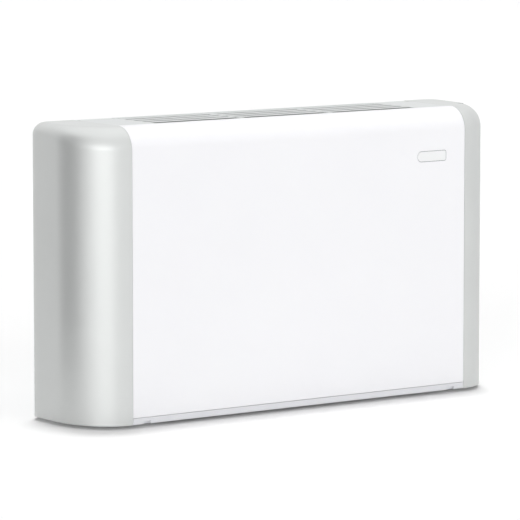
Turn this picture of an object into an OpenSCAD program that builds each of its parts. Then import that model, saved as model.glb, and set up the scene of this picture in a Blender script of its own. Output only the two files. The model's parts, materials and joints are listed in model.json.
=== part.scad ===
// Floor and wall fan coil unit: a sheet metal frame with a filter, a twin fan, a water coil and a
// louvred top, dressed with a bent front panel and two moulded side caps.
// Millimetres, +Z up, front towards -Y, wall plane towards +Y, origin at the bottom centre.

/* [Cabinet] */
// Overall width across both side caps
cabinet_w = 984; // [950:2:1020]
// Overall height
cabinet_h = 564; // [558:1:580]
// Overall depth from the wall plane to the front plane
cabinet_d = 226; // [224:1:234]
// Thickness of the painted and galvanised sheet
sheet = 1.2; // [0.8:0.1:1.4]
// Gap left between neighbouring cabinet pieces
seam_gap = 0.5; // [0.3:0.1:0.8]

/* [Side caps] */
// Width of each side cap
cap_w = 95; // [90:1:100]
// Depth of the big front corner in plan
cap_corner_d = 118; // [108:1:124]
// Plan radius of the rear corner
cap_rear_r = 40; // [34:1:44]
// Wall of the moulded caps
cap_wall = 2.5; // [2:0.1:3]

/* [Top edge] */
// Radius of the bend at the top of the front panel
top_front_r = 45; // [42:1:48]
// Radius of the rear top edge
top_rear_r = 24; // [20:1:28]
// Wall of the moulded top trim
trim_wall = 2.5; // [2:0.1:3]

/* [Outlet grille] */
// Number of grille modules
grille_count = 3; // [2:1:4]
// Height of the grille and door frames
grille_h = 24; // [22:1:26]
// Number of louvres in each module
louvre_count = 4; // [3:1:5]
// Thickness of one louvre
louvre_t = 2.2; // [1.6:0.1:2.6]
// Number of cross ribs in each module
rib_count = 4; // [2:1:6]

/* [Access doors] */
// Width of each access door
door_w = 82; // [78:1:86]
// Thickness of the door skin
door_t = 3; // [2.5:0.1:3.4]
// Radius of the hinge pins
hinge_pin_r = 2; // [1.6:0.1:2.4]

/* [Filter] */
// Height of the front strip below the panel
strip_h = 13; // [12:0.5:15]
// Width of the filter frame bars
filter_bar = 12; // [10:1:16]

/* [Fan] */
// Outer radius of the wheels
wheel_r = 70; // [66:1:71]
// Length of each double-inlet wheel
wheel_len = 184; // [170:2:188]
// Number of blades
blade_count = 36; // [28:2:40]
// Radius of the motor shaft
shaft_r = 6; // [5:0.5:7]
// Radius of the motor shell
motor_r = 46; // [40:1:50]

/* [Coil] */
// Tubes in each row of the coil
coil_high = 8; // [6:2:8]
// Pitch of the tubes along a row
tube_pitch = 25; // [24:0.5:25.5]
// Pitch between the tube rows
row_pitch = 22; // [20:0.5:22]
// Outer radius of the copper tubes
tube_r = 4.8; // [4:0.1:5]
// Pitch of the fins
fin_pitch = 12; // [10:0.5:20]
// Lean of the coil from upright, in degrees
coil_lean = 20; // [16:1:22]
// Bore radius of the water unions
union_bore_r = 9.3; // [8:0.1:9.6]

/* [Controls] */
// Radius of the thermostat knob
thermostat_r = 17; // [14:0.5:19]
// Radius of the fan speed knob
speed_r = 12; // [10:0.5:13]

/* [Fits] */
// Clearance of turning and sliding fits, per side
run_fit = 0.08; // [0.05:0.01:0.1]
// Clearance between pieces that only rest together
rest_fit = 0.2; // [0.15:0.05:0.3]

/* [Hidden] */
$fn = 64;
big = 400;
h = cabinet_h;
x_out = cabinet_w / 2;
x_seam = x_out - cap_w;
y_front = -cabinet_d / 2;
y_back = cabinet_d / 2;

// Grille field, bays and end plates
x_bay = x_seam - door_w;
x_plate = x_bay + 1;
x_plate_out = x_plate + sheet;
y_tail = y_front + top_front_r + sheet;
y_top0 = y_tail + seam_gap;
hinge_back = 37;
hinge_y = y_back - hinge_back;
hinge_r = 5;
hinge_z = h - hinge_r;
y_rail = hinge_y + hinge_r + seam_gap;
y_top1 = y_rail - seam_gap;
z_ledge = h - grille_h - rest_fit;

// Front panel folds
panel_tail = 12;
panel_fold = 12;
panel_foot = 18;

// Rails behind the front panel
base_y = y_front + 14;
z_base = strip_h + sheet + seam_gap;
base_rail_h = 26;
base_flange = 10;
top_rail_h = 60;
lug_back = 3;
lug_in = 18;
lug_w = 18;
lug_arm = 16;
lug_h = 20;
lug_x = x_seam - 9;
base_lug_z = z_base + 4;
top_lug_z = z_ledge - top_rail_h + 4;
screw_r = 2;
screw_head_r = 3.6;
screw_head_h = 2.4;

// Back panel
back_top = h - top_rear_r - 16;
back_low = strip_h + 2;
wall_slot_x = x_bay + 40;
wall_slot_z = [110, h - 94];
wall_slot_r = 4.5;
wall_slot_len = 20;
pipe_cut_in = 18;
pipe_cut_z = [165, h - 149];
rear_screw_z = [60, 250, h - 124];
flange_w = 14;
plate_low = strip_h + 4;
plate_top = h - 62;

// Filter and guides
filter_gap = 0.7;
filter_top = strip_h - filter_gap;
filter_low = 2.8;
strip_d = 14;
strip_low = 0.6;
guide_wall = 1.4;
guide_lip = 10;
filter_x = x_plate_out - guide_wall - seam_gap;
filter_back = y_back - 14;
tab_x = x_seam - 32;
tab_w = 16;

// Fan section
fan_y = y_back - 109;
fan_z = 130;
deck_z = 232;
volute_step = 9;
volute_r1 = 79;
volute_r2 = volute_r1 + volute_step;
volute_r3 = volute_r2 + volute_step;
volute_half = volute_step / 2;
volute_top = deck_z - rest_fit - fan_z;
scroll_w = 200;
scroll_side = 12;
scroll_x = x_bay - scroll_side - scroll_w / 2;
inlet_r = 57;
inlet_bead_r = 4;
outlet_flange = 8;
outlet_flange_rear = 4;
blade_root = 13;
blade_curve_r = 9;
blade_t = 1;
wheel_disc_t = 2;
wheel_ring_w = 4;
wheel_ring_t = 3;
hub_r = 14;
hub_len = 26;
set_screw_r = 2.5;
motor_len = 104;
motor_hub_r = 20;
motor_hub_len = 20;
rubber_r = 30;
rubber_len = 10;
cradle_x = motor_len / 2 + 8;
cradle_half = 44;
shaft_end = scroll_x + hub_len / 2 + 6;

// Coil, in its own leaning frame
coil_y = y_front + 118;
coil_lift = 156;
coil_z = deck_z + coil_lift;
coil_rows = 3;
coil_half_z = coil_high * tube_pitch / 2;
coil_half_y = coil_rows * row_pitch / 2;
tube_wall = 0.7;
sheet_edge = 7;
tube_sheet_out = x_plate - rest_fit;
tube_sheet_in = tube_sheet_out - sheet;
fin_t = 1;
fin_room = 6;
fin_half = tube_sheet_in - fin_room;
fin_count = floor(2 * fin_half / fin_pitch);
tube_end = x_plate_out + 4;
header_r = 11;
header_wall = 1;
header_x = x_plate_out + 30;
header_half = coil_half_z - 4;
union_af_r = 15.5;
union_len = 24;
union_depth = 15;
union_lift = 55;
union_x = header_x + header_r + 3;
window_half_y = coil_half_y - 3;
window_half_z = coil_half_z - 2;
bleed_r = 7;
bleed_screw_r = 4;

// Drain pan and drip tray
pan_t = 2;
pan_front_h = 52;
pan_rear_h = 44;
pan_flat = 44;
pan_rise = 12;
pan_front = y_front + 29;
pan_rear = y_front + 129;
pan_low = deck_z + sheet + 14;
pan_end = tube_sheet_in - seam_gap;
pan_foot_x = x_bay * 0.7;
spout_y = pan_front + 18;
spout_z = pan_low + 15;
spout_r = 8.5;
spout_bore_r = 6.5;
spout_len = 30;
hose_room = 7;
tray_y0 = spout_y + 14;
tray_y1 = tray_y0 + 112;
tray_z = pan_low - 8;
tray_h = 24;
tray_len = 68;

// Electrics in the right bay
bay_in = x_plate_out + rest_fit;
box_len = 52;
box_y0 = -58;
box_y1 = 44;
box_z0 = 108;
box_z1 = 214;
box_t = 2;
gland_r = 8;
gland_bore_r = 3.5;
cap_can_r = 14;
cap_can_z = 244;
cap_can_len = 64;

// Controls under the right door
control_z = h - grille_h + 3;
control_t = 2.5;
control_mid = x_bay + door_w / 2;
knob_lift = 0.4;
thermostat_h = 12;
speed_h = 11;
spindle_r = 3;
spindle_len = 12;
thermostat_y = y_top0 + 32;
speed_y = thermostat_y + 38;
rocker_y = speed_y + 32;
rocker_r = 9;
rocker_w = 12;

// Sensor port in the top of the right cap
port_x = x_out - 40;
port_y = y_front + 87;
port_w = 8;
port_len = 14;
port_ledge = 3;
port_ledge_t = 1.5;
port_sink = 0.2;

// Badge
badge_x = 314 * cabinet_w / 984;
badge_z = h - 93;
badge_len = 72;
badge_half = 10.5;
badge_end_r = 4;
badge_lip = 3;

// Helpers

// A box between two corners
module box(a, b) {
    translate(a) cube(b - a);
}

// A rectangle between two corners
module rect(a, b) {
    translate(a) square(b - a);
}

// Draws a Y Z outline and runs it along X
module along_x(x0, x1) {
    translate([x0, 0, 0]) rotate([90, 0, 90]) linear_extrude(x1 - x0) children();
}

// A rod along X
module rod_x(x0, x1, y, z, r) {
    translate([x0, y, z]) rotate([0, 90, 0]) cylinder(h = x1 - x0, r = r);
}

// A rod along Y
module rod_y(y0, y1, x, z, r) {
    translate([x, y0, z]) rotate([-90, 0, 0]) cylinder(h = y1 - y0, r = r);
}

// Keeps a piece on the right, or mirrors it to the left
module on_side(side) {
    if (side > 0) {
        children();
    } else {
        mirror([1, 0, 0]) children();
    }
}

// A quarter of a bent sheet in a Y Z outline
module bend(centre, r, t, dir_y, dir_z) {
    translate(centre) intersection() {
        difference() {
            circle(r);
            circle(r - t);
        }
        translate([dir_y < 0 ? -r : 0, dir_z < 0 ? -r : 0]) square(r);
    }
}

// The coil's own frame, leaning back at the top
module in_coil() {
    translate([0, coil_y, coil_z]) rotate([-coil_lean, 0, 0]) children();
}

// Cabinet skin

// Side outline of the front sheet, as a band of a given depth
module panel_band(t) {
    rect([y_front, strip_h], [y_front + t, h - top_front_r]);
    bend([y_front + top_front_r, h - top_front_r], top_front_r, t, -1, 1);
}

// Outline of the badge, on the front plane
module badge_outline(grow) {
    translate([-badge_len / 2 + badge_half, 0]) circle(badge_half + grow);
    rect([-badge_len / 2 + badge_half, -badge_half - grow],
        [badge_len / 2 - badge_end_r, badge_half + grow]);
    rect([-badge_len / 2 + badge_half, -badge_half + badge_end_r],
        [badge_len / 2 + grow, badge_half - badge_end_r]);
    for (side = [-1, 1]) {
        translate([badge_len / 2 - badge_end_r, side * (badge_half - badge_end_r)])
            circle(badge_end_r + grow);
    }
}

module front_panel() {
    x1 = x_seam - seam_gap;
    color("white") difference() {
        union() {
            along_x(-x1, x1) {
                panel_band(sheet);
                rect([y_front + top_front_r, h - sheet], [y_tail, h]);
                rect([y_tail - sheet, h - panel_tail], [y_tail, h]);
                rect([y_front, strip_h], [y_front + panel_foot, strip_h + sheet]);
            }
            along_x(-x1, -x1 + sheet) panel_band(panel_fold);
            along_x(x1 - sheet, x1) panel_band(panel_fold);
        }
        translate([badge_x, y_front + sheet + 1, badge_z])
            rotate([90, 0, 0]) linear_extrude(sheet + 2) badge_outline(rest_fit);
    }
}

module front_liner() {
    x1 = x_bay - 12;
    y0 = y_front + sheet;
    color("dimgray") difference() {
        box([-x1, y0, 60], [x1, y0 + 5, h - top_front_r - 24]);
        translate([badge_x, y0 + 6, badge_z])
            rotate([90, 0, 0]) linear_extrude(7) badge_outline(badge_lip + 1);
    }
}

module badge_plate() {
    color("silver") translate([badge_x, 0, badge_z]) rotate([90, 0, 0]) {
        translate([0, 0, -y_front - sheet]) linear_extrude(sheet) badge_outline(0);
        translate([0, 0, -y_front - sheet - 1.2]) linear_extrude(1.2) badge_outline(badge_lip);
    }
}

// Stations round the plan of the right cap: a point and its inward direction
corner_steps = 22;
side_steps = 4;
rear_steps = 8;
round_steps = 9;
function unit(v) = v / norm(v);
function smooth(u) = u * u * (3 - 2 * u);
function edge_r(y) = top_front_r + (top_rear_r - top_front_r)
    * smooth(min(1, max(0, (y - y_front) / (y_back - cap_rear_r - y_front))));
cap_corner = [for (i = [0 : corner_steps]) let(t = 90 * i / corner_steps)
    [[x_seam + cap_w * sin(t), y_front + cap_corner_d * (1 - cos(t))],
    -unit([sin(t) / cap_w, -cos(t) / cap_corner_d])]];
cap_side_len = cabinet_d - cap_corner_d - cap_rear_r;
cap_side = [for (i = [1 : side_steps - 1])
    [[x_out, y_front + cap_corner_d + cap_side_len * i / side_steps], [-1, 0]]];
cap_rear = [for (i = [0 : rear_steps]) let(t = 90 * i / rear_steps)
    [[x_out - cap_rear_r * (1 - cos(t)), y_back - cap_rear_r * (1 - sin(t))], [-cos(t), -sin(t)]]];
cap_plan = concat(cap_corner, cap_side, cap_rear, [[[x_seam, y_back], [0, -1]]]);

// One point of the shell: up the wall at row 0, then round the top edge
function cap_point(st, wall, row) = let(r = edge_r(st[0][1]), t = 90 * (row - 1) / round_steps,
    inward = row == 0 ? wall : r - (r - wall) * cos(t),
    z = row == 0 ? 0 : h - r + (r - wall) * sin(t))
    [st[0][0] + st[1][0] * inward, st[0][1] + st[1][1] * inward, z];
cap_rows = round_steps + 2;
cap_last = len(cap_plan) - 1;
cap_offset = cap_rows * (cap_last + 1);
function outer(i, j) = i * cap_rows + j;
function inner(i, j) = cap_offset + outer(i, j);
cap_points = [for (wall = [0, cap_wall]) for (st = cap_plan) for (row = [0 : cap_rows - 1])
    cap_point(st, wall, row)];
top_row = cap_rows - 1;
cap_faces = concat(
    [for (i = [0 : cap_last - 1]) for (j = [0 : top_row - 1])
        [outer(i, j), outer(i, j + 1), outer(i + 1, j + 1), outer(i + 1, j)]],
    [for (i = [0 : cap_last - 1]) for (j = [0 : top_row - 1])
        [inner(i, j), inner(i + 1, j), inner(i + 1, j + 1), inner(i, j + 1)]],
    [[for (i = [cap_last : -1 : 0]) outer(i, top_row)]],
    [[for (i = [0 : cap_last]) inner(i, top_row)]],
    [for (i = [0 : cap_last - 1]) [outer(i, 0), outer(i + 1, 0), inner(i + 1, 0), inner(i, 0)]],
    [for (j = [0 : top_row - 1]) [outer(0, j), inner(0, j), inner(0, j + 1), outer(0, j + 1)]],
    [for (j = [0 : top_row - 1])
        [outer(cap_last, j), outer(cap_last, j + 1), inner(cap_last, j + 1), inner(cap_last, j)]],
    [[outer(0, top_row), inner(0, top_row), inner(cap_last, top_row), outer(cap_last, top_row)]]);

// Fixing lugs inside a cap, behind the base rail and behind the top front rail
module cap_lugs() {
    y0 = base_y + rest_fit;
    y1 = y_top0 + sheet + rest_fit;
    arm = x_seam + lug_arm;
    difference() {
        union() {
            box([x_seam - lug_in, y0, base_lug_z], [x_seam + 22, y0 + lug_back, base_lug_z + lug_h]);
            box([arm, y_front + 4.5, base_lug_z], [x_seam + 22, y0 + lug_back, base_lug_z + lug_h]);
            box([x_seam - lug_in, y1, top_lug_z], [x_seam + 22, y1 + lug_back, top_lug_z + lug_h]);
            box([arm, y_front + 4.5, top_lug_z], [x_seam + 22, y1 + lug_back, top_lug_z + lug_h]);
        }
        rod_y(y0 - 1, y0 + lug_back + 1, lug_x, base_lug_z + lug_h / 2, screw_r + rest_fit);
        rod_y(y1 - 1, y1 + lug_back + 1, lug_x, top_lug_z + lug_h / 2, screw_r + rest_fit);
    }
}

module side_cap(side, slot) {
    color("silver") on_side(side) difference() {
        union() {
            polyhedron(points = cap_points, faces = cap_faces, convexity = 6);
            cap_lugs();
        }
        // Way for the pipes and cables through the back of the cap
        box([x_seam - 1, y_back - cap_rear_r / 2, 30], [x_out - cap_rear_r - 6, y_back + 5, h - 64]);
        if (slot) {
            box([port_x - port_w / 2, port_y - port_len / 2, h - 9],
                [port_x + port_w / 2, port_y + port_len / 2, h + 1]);
        }
    }
}

module left_side_cap() {
    side_cap(-1, false);
}

module right_side_cap() {
    side_cap(1, true);
}

// Port of the room air sensor, pushed into its slot from below
module sensor_port() {
    half_w = port_w / 2 - rest_fit;
    half_len = port_len / 2 - rest_fit;
    under = h - cap_wall - rest_fit;
    color("black") {
        box([port_x - half_w, port_y - half_len, under - port_ledge_t],
            [port_x + half_w, port_y + half_len, h - port_sink]);
        // Snap ledge under the flat of the cap
        box([port_x - half_w - port_ledge, port_y, under - port_ledge_t],
            [port_x + half_w, port_y + half_len, under]);
    }
}

// Top

module rear_top_rail() {
    x1 = x_seam - seam_gap;
    lap = y_back - sheet - rest_fit;
    skirt = back_top + seam_gap;
    color("whitesmoke") along_x(-x1, x1) {
        rect([y_rail, z_ledge - 10], [y_rail + trim_wall, h]);
        rect([y_rail, h - trim_wall], [y_back - top_rear_r, h]);
        bend([y_back - top_rear_r, h - top_rear_r], top_rear_r, trim_wall, 1, 1);
        rect([y_back - trim_wall, skirt], [y_back, h - top_rear_r]);
        rect([lap - trim_wall, skirt - 12], [lap, skirt + 8]);
        rect([y_rail - 12, z_ledge - trim_wall], [y_rail + trim_wall, z_ledge]);
    }
}

// One louvre in a Y Z outline: an upright leg that bends forward into a flat lip, thin at its front edge
louvre_low = 17;
louvre_top = 0.3;
louvre_bend = 4;
louvre_lip = 1;
module louvre(y, width) {
    z1 = h - louvre_top;
    rear = y + width;
    polygon([[y, z1], [rear - louvre_bend, z1], [rear - louvre_bend, z1 - louvre_t], [y, z1 - louvre_lip]]);
    bend([rear - louvre_bend, z1 - louvre_bend], louvre_bend, louvre_t, 1, 1);
    rect([rear - louvre_t, h - louvre_low], [rear, z1 - louvre_bend]);
}

window_front = 3.5;
window_rear = 6;
grille_side = 5;
rib_t = 2;
// Air gap before each louvre, what the front slot has more, and the gap behind the last one
louvre_gap = 8;
louvre_lead = 14;
louvre_rear_gap = 2;
module grille(index) {
    pitch = 2 * x_bay / grille_count;
    x0 = -x_bay + pitch * index + seam_gap / 2;
    x1 = x0 + pitch - seam_gap;
    w0 = y_top0 + window_front;
    w1 = y_top1 - window_rear;
    step = (w1 - w0 - louvre_lead - louvre_rear_gap) / louvre_count;
    rib_step = (x1 - x0) / (rib_count + 1);
    color("gainsboro") {
        difference() {
            box([x0, y_top0, h - grille_h], [x1, y_top1, h]);
            box([x0 + trim_wall, y_top0 + trim_wall, h - grille_h - 1],
                [x1 - trim_wall, y_top1 - trim_wall, h - trim_wall]);
            box([x0 + grille_side, w0, h - grille_h], [x1 - grille_side, w1, h + 1]);
        }
        along_x(x0 + trim_wall / 2, x1 - trim_wall / 2) for (i = [0 : louvre_count - 1]) {
            louvre(w0 + louvre_lead + louvre_gap + step * i, step - louvre_gap);
        }
        for (i = [1 : rib_count]) {
            x = x0 + rib_step * i;
            box([x - rib_t / 2, y_top0 + trim_wall / 2, h - louvre_low + 1],
                [x + rib_t / 2, y_top1 - trim_wall / 2, h - 5]);
        }
    }
}

module left_grille() {
    grille(0);
}

module centre_grille() {
    for (i = [1 : grille_count - 2]) {
        grille(i);
    }
    if (grille_count == 2) {
        // A pair has no middle module, so a joining strip stands under its seam
        color("gainsboro") box([-6, y_top0 + 4, h - grille_h - rest_fit - 3], [6, y_top1 - 14, h - grille_h]);
    }
}

module right_grille() {
    grille(grille_count - 1);
}

ear_front = 7.5;
door_notch = 10;
module door(side) {
    x0 = x_bay + seam_gap;
    x1 = x_seam - seam_gap;
    in0 = x0 + trim_wall + seam_gap;
    in1 = x1 - trim_wall - seam_gap;
    lip = 1.6;
    color("lightgray") on_side(side) difference() {
        union() {
            along_x(x0, x1) rect([y_top0, h - door_t], [hinge_y - door_notch, h]);
            along_x(in0, in1) {
                rect([hinge_y - door_notch - 1, h - door_t], [hinge_y, h]);
                translate([hinge_y, hinge_z]) circle(hinge_r);
                rect([y_top0 + trim_wall + seam_gap, h - door_t - 4],
                    [y_top0 + trim_wall + seam_gap + lip, h - door_t + 0.5]);
            }
        }
        rod_x(in0 - 1, in0 + 8.5, hinge_y, hinge_z, hinge_pin_r + run_fit);
        rod_x(in1 - 8.5, in1 + 1, hinge_y, hinge_z, hinge_pin_r + run_fit);
    }
}

module left_door() {
    door(-1);
}

module right_door() {
    door(1);
}

module door_frame(side) {
    x0 = x_bay + seam_gap;
    x1 = x_seam - seam_gap;
    z0 = h - grille_h;
    z1 = h - door_t - seam_gap;
    low = hinge_z - hinge_r - 1;
    color("gray") on_side(side) {
        box([x0, y_top0, z0], [x1, y_top0 + trim_wall, z1]);
        box([x0, y_top1 - trim_wall, z0], [x1, y_top1, low]);
        for (x = [x0, x1 - trim_wall]) {
            box([x, y_top0, z0], [x + trim_wall, hinge_y - ear_front, z1]);
            box([x, hinge_y - ear_front - 1, z0], [x + trim_wall, y_top1, low]);
            box([x, hinge_y - ear_front, z0], [x + trim_wall, hinge_y + hinge_r - 1, h - 0.4]);
        }
        rod_x(x0 + trim_wall / 2, x0 + trim_wall + 8, hinge_y, hinge_z, hinge_pin_r);
        rod_x(x1 - trim_wall - 8, x1 - trim_wall / 2, hinge_y, hinge_z, hinge_pin_r);
    }
}

module left_door_frame() {
    door_frame(-1);
}

module right_door_frame() {
    door_frame(1);
}

// Frame

module wall_slot(x, z) {
    half = wall_slot_len / 2 - wall_slot_r;
    for (side = [-1, 1]) {
        rod_y(y_back - sheet - 1, y_back + 1, x + side * half, z, wall_slot_r);
    }
    box([x - half, y_back - sheet - 1, z - wall_slot_r], [x + half, y_back + 1, z + wall_slot_r]);
}

module back_panel() {
    x1 = x_seam - seam_gap;
    color("lightsteelblue") difference() {
        union() {
            box([-x1, y_back - sheet, back_low], [x1, y_back, back_top]);
            box([-x1, y_back - 12, back_low], [x1, y_back, back_low + sheet]);
        }
        for (side = [-1, 1]) {
            for (z = wall_slot_z) {
                wall_slot(side * wall_slot_x, z);
            }
            for (z = rear_screw_z) {
                rod_y(y_back - sheet - 1, y_back + 1, side * (x_plate_out + flange_w / 2), z,
                    screw_r + rest_fit);
            }
        }
        for (side = [-1, 1]) {
            on_side(side) box([x_plate_out + pipe_cut_in, y_back - sheet - 1, pipe_cut_z[0]],
                [x1 - 6, y_back + 1, pipe_cut_z[1]]);
        }
    }
}

module end_plate(side) {
    y0 = base_y + seam_gap;
    y1 = y_back - sheet - rest_fit;
    front_top = y_top0 + sheet + seam_gap;
    color("lightsteelblue") on_side(side) difference() {
        union() {
            along_x(x_plate, x_plate_out) polygon([[y0, plate_low], [y1, plate_low], [y1, plate_top],
                [front_top, plate_top], [front_top, plate_top - 26], [y0, plate_top - 90]]);
            box([x_plate, y1 - sheet, plate_low + 20], [x_plate_out + flange_w, y1, plate_top - 20]);
        }
        in_coil() box([x_plate - 1, -window_half_y, -window_half_z],
            [x_plate_out + 1, window_half_y, window_half_z]);
        rod_x(x_plate - 1, x_plate_out + 1, spout_y, spout_z, spout_r + hose_room);
        for (z = rear_screw_z) {
            rod_y(y1 - sheet - 1, y1 + 1, x_plate_out + flange_w / 2, z, screw_r + rest_fit);
        }
    }
}

module left_end_plate() {
    end_plate(-1);
}

module right_end_plate() {
    end_plate(1);
}

module top_front_rail() {
    x1 = x_seam - seam_gap;
    color("lightsteelblue") difference() {
        along_x(-x1, x1) {
            rect([y_top0, z_ledge - top_rail_h], [y_top0 + sheet, z_ledge]);
            rect([y_top0, z_ledge - sheet], [y_top0 + 14, z_ledge]);
        }
        for (side = [-1, 1]) {
            rod_y(y_top0 - 1, y_top0 + sheet + 1, side * lug_x, top_lug_z + lug_h / 2,
                screw_r + rest_fit);
        }
    }
}

module base_rail() {
    x1 = x_seam - seam_gap;
    // The flange ends inside the folded ends of the front panel
    x2 = x1 - sheet - seam_gap;
    color("lightsteelblue") difference() {
        union() {
            along_x(-x1, x1) rect([base_y - sheet, z_base], [base_y, z_base + base_rail_h]);
            along_x(-x2, x2) rect([base_y - base_flange, z_base], [base_y, z_base + sheet]);
        }
        for (side = [-1, 1]) {
            rod_y(base_y - sheet - 1, base_y + 1, side * lug_x, base_lug_z + lug_h / 2,
                screw_r + rest_fit);
        }
    }
}

module fan_deck() {
    x1 = x_plate - rest_fit;
    half = scroll_w / 2 - sheet;
    color("lightsteelblue") difference() {
        union() {
            box([-x1, base_y + seam_gap, deck_z], [x1, y_back - sheet - rest_fit, deck_z + sheet]);
            for (side = [-1, 1]) {
                on_side(side) box([x1 - sheet, base_y + seam_gap, deck_z],
                    [x1, y_back - sheet - rest_fit, deck_z + 12]);
            }
        }
        for (side = [-1, 1]) {
            on_side(side) box([scroll_x - half, fan_y - volute_half + sheet, deck_z - 1],
                [scroll_x + half, fan_y + volute_half + volute_r3 - sheet, deck_z + sheet + 1]);
        }
    }
}

// A channel open towards the middle, its lower lip under the filter edge
module filter_guide(side) {
    x1 = x_plate_out;
    y0 = y_front + panel_foot + seam_gap;
    y1 = y_back - 12 - rest_fit;
    top = plate_low - rest_fit;
    inner_top = filter_top + seam_gap;
    low = filter_low - seam_gap - guide_wall;
    color("gray") on_side(side) {
        box([x1 - guide_wall, y0, low], [x1, y1, top]);
        box([x1 - guide_lip, y0, low], [x1, y1, low + guide_wall]);
        box([x1 - guide_lip, y0, inner_top], [x1, y1, top]);
    }
}

module left_filter_guide() {
    filter_guide(-1);
}

module right_filter_guide() {
    filter_guide(1);
}

// A pan head screw along +Y, its head face at the origin plane
module pan_screw(len) {
    rotate([-90, 0, 0]) cylinder(h = len, r = screw_r);
    translate([0, -screw_head_h, 0]) rotate([-90, 0, 0]) difference() {
        cylinder(h = screw_head_h, r = screw_head_r);
        for (a = [0, 90]) {
            rotate([0, 0, a]) translate([-2, -0.4, -1]) cube([4, 0.8, 2.2]);
        }
    }
}

module frame_screws() {
    y = y_back - 2 * sheet - rest_fit;
    color("silver") for (side = [-1, 1]) {
        for (z = rear_screw_z) {
            translate([side * (x_plate_out + flange_w / 2), y, z]) pan_screw(2 * sheet + rest_fit);
        }
    }
}

module cabinet_screws() {
    color("silver") for (side = [-1, 1]) {
        translate([side * lug_x, base_y - sheet, base_lug_z + lug_h / 2]) pan_screw(7);
        translate([side * lug_x, y_top0, top_lug_z + lug_h / 2]) pan_screw(7);
    }
}

// Filter

module filter_frame() {
    x1 = x_seam - seam_gap;
    y0 = y_front + strip_d;
    color("whitesmoke") {
        difference() {
            box([-x1, y_front, strip_low], [x1, y0, filter_top]);
            for (side = [-1, 1]) {
                on_side(side) box([tab_x - tab_w / 2, y_front - 1, strip_low - 1],
                    [tab_x + tab_w / 2, y_front + 6, strip_low + 5]);
            }
        }
        difference() {
            box([-filter_x, y0 - 1, filter_low], [filter_x, filter_back, filter_top]);
            box([-filter_x + filter_bar, y0 + filter_bar, filter_low - 1],
                [filter_x - filter_bar, filter_back - filter_bar, filter_top + 1]);
        }
        for (x = [-filter_x / 3, filter_x / 3]) {
            box([x - 2, y0, filter_low], [x + 2, filter_back - 1, filter_low + 2]);
        }
    }
}

module filter_net() {
    edge = filter_bar + rest_fit;
    z0 = filter_low + 2 + rest_fit;
    color("darkslategray") box([-filter_x + edge, y_front + strip_d + edge, z0],
        [filter_x - edge, filter_back - edge, z0 + 1.6]);
}

// Fan

// Four-centre volute in a Y Z outline round the shaft, thinned by t
module volute(t) {
    translate([-volute_half, -volute_half]) intersection() {
        circle(volute_r1 - t);
        rect([-big, 0], [0, big]);
    }
    translate([volute_half, -volute_half]) intersection() {
        circle(volute_r2 - t);
        rect([-big, -big], [0, 0]);
    }
    translate([volute_half, volute_half]) intersection() {
        circle(volute_r3 - t);
        rect([0, -big], [big, 0]);
    }
}

module volute_outer() {
    volute(0);
    rect([-volute_half, -volute_half], [volute_half + volute_r3, volute_top]);
}

module volute_inner() {
    volute(sheet);
    rect([-volute_half, -volute_half], [volute_half + volute_r3 - sheet, volute_r1 - volute_half - sheet]);
    rect([-volute_half + sheet, 0], [volute_half + volute_r3 - sheet, volute_top + 1]);
}

module scroll(side) {
    x0 = scroll_x - scroll_w / 2;
    x1 = scroll_x + scroll_w / 2;
    y0 = -volute_half - outlet_flange;
    y1 = volute_half + volute_r3 + outlet_flange_rear;
    color("silver") on_side(side) translate([0, fan_y, fan_z]) difference() {
        union() {
            along_x(x0, x1) difference() {
                volute_outer();
                volute_inner();
            }
            along_x(x0, x0 + sheet) volute_outer();
            along_x(x1 - sheet, x1) volute_outer();
            difference() {
                box([x0 - outlet_flange, y0, volute_top - sheet], [x1 + outlet_flange, y1, volute_top]);
                box([x0 + sheet, -volute_half + sheet, volute_top - 5],
                    [x1 - sheet, volute_half + volute_r3 - sheet, volute_top + 1]);
            }
            for (x = [x0, x1]) {
                translate([x, 0, 0]) rotate([0, 90, 0]) rotate_extrude()
                    translate([inlet_r + inlet_bead_r + 0.6, 0]) circle(inlet_bead_r, $fn = 32);
            }
        }
        rod_x(x0 - 20, x1 + 20, 0, 0, inlet_r);
    }
}

module left_scroll() {
    scroll(-1);
}

module right_scroll() {
    scroll(1);
}

// One forward-curved blade in a Y Z outline
module blade() {
    intersection() {
        translate([wheel_r - blade_root / 2 + 2, 0]) difference() {
            circle(blade_curve_r);
            circle(blade_curve_r - blade_t);
        }
        difference() {
            circle(wheel_r - 0.5);
            circle(wheel_r - blade_root);
        }
        rect([0, 0], [big, big]);
    }
}

module fan_wheel(side) {
    half = wheel_len / 2;
    color("slategray") translate([side * scroll_x, fan_y, fan_z]) difference() {
        union() {
            along_x(-half, half) for (i = [0 : blade_count - 1]) {
                rotate([0, 0, 360 * i / blade_count]) blade();
            }
            rod_x(-wheel_disc_t / 2, wheel_disc_t / 2, 0, 0, wheel_r);
            for (end = [-half, half - wheel_ring_t]) {
                difference() {
                    rod_x(end, end + wheel_ring_t, 0, 0, wheel_r);
                    rod_x(end - 1, end + wheel_ring_t + 1, 0, 0, wheel_r - wheel_ring_w);
                }
            }
            rod_x(-hub_len / 2, hub_len / 2, 0, 0, hub_r);
        }
        rod_x(-half, half, 0, 0, shaft_r + run_fit);
        translate([hub_len / 4 + 1, 0, 0]) cylinder(h = hub_r + 1, r = set_screw_r + rest_fit);
    }
}

module left_fan_wheel() {
    fan_wheel(-1);
}

module right_fan_wheel() {
    fan_wheel(1);
}

module wheel_set_screws() {
    color("black") for (side = [-1, 1]) {
        translate([side * scroll_x + hub_len / 4 + 1, fan_y, fan_z + shaft_r + rest_fit]) difference() {
            cylinder(h = hub_r - shaft_r - 1, r = set_screw_r);
            translate([0, 0, hub_r - shaft_r - 3]) cylinder(h = 4, r = 1.3, $fn = 6);
        }
    }
}

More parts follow.
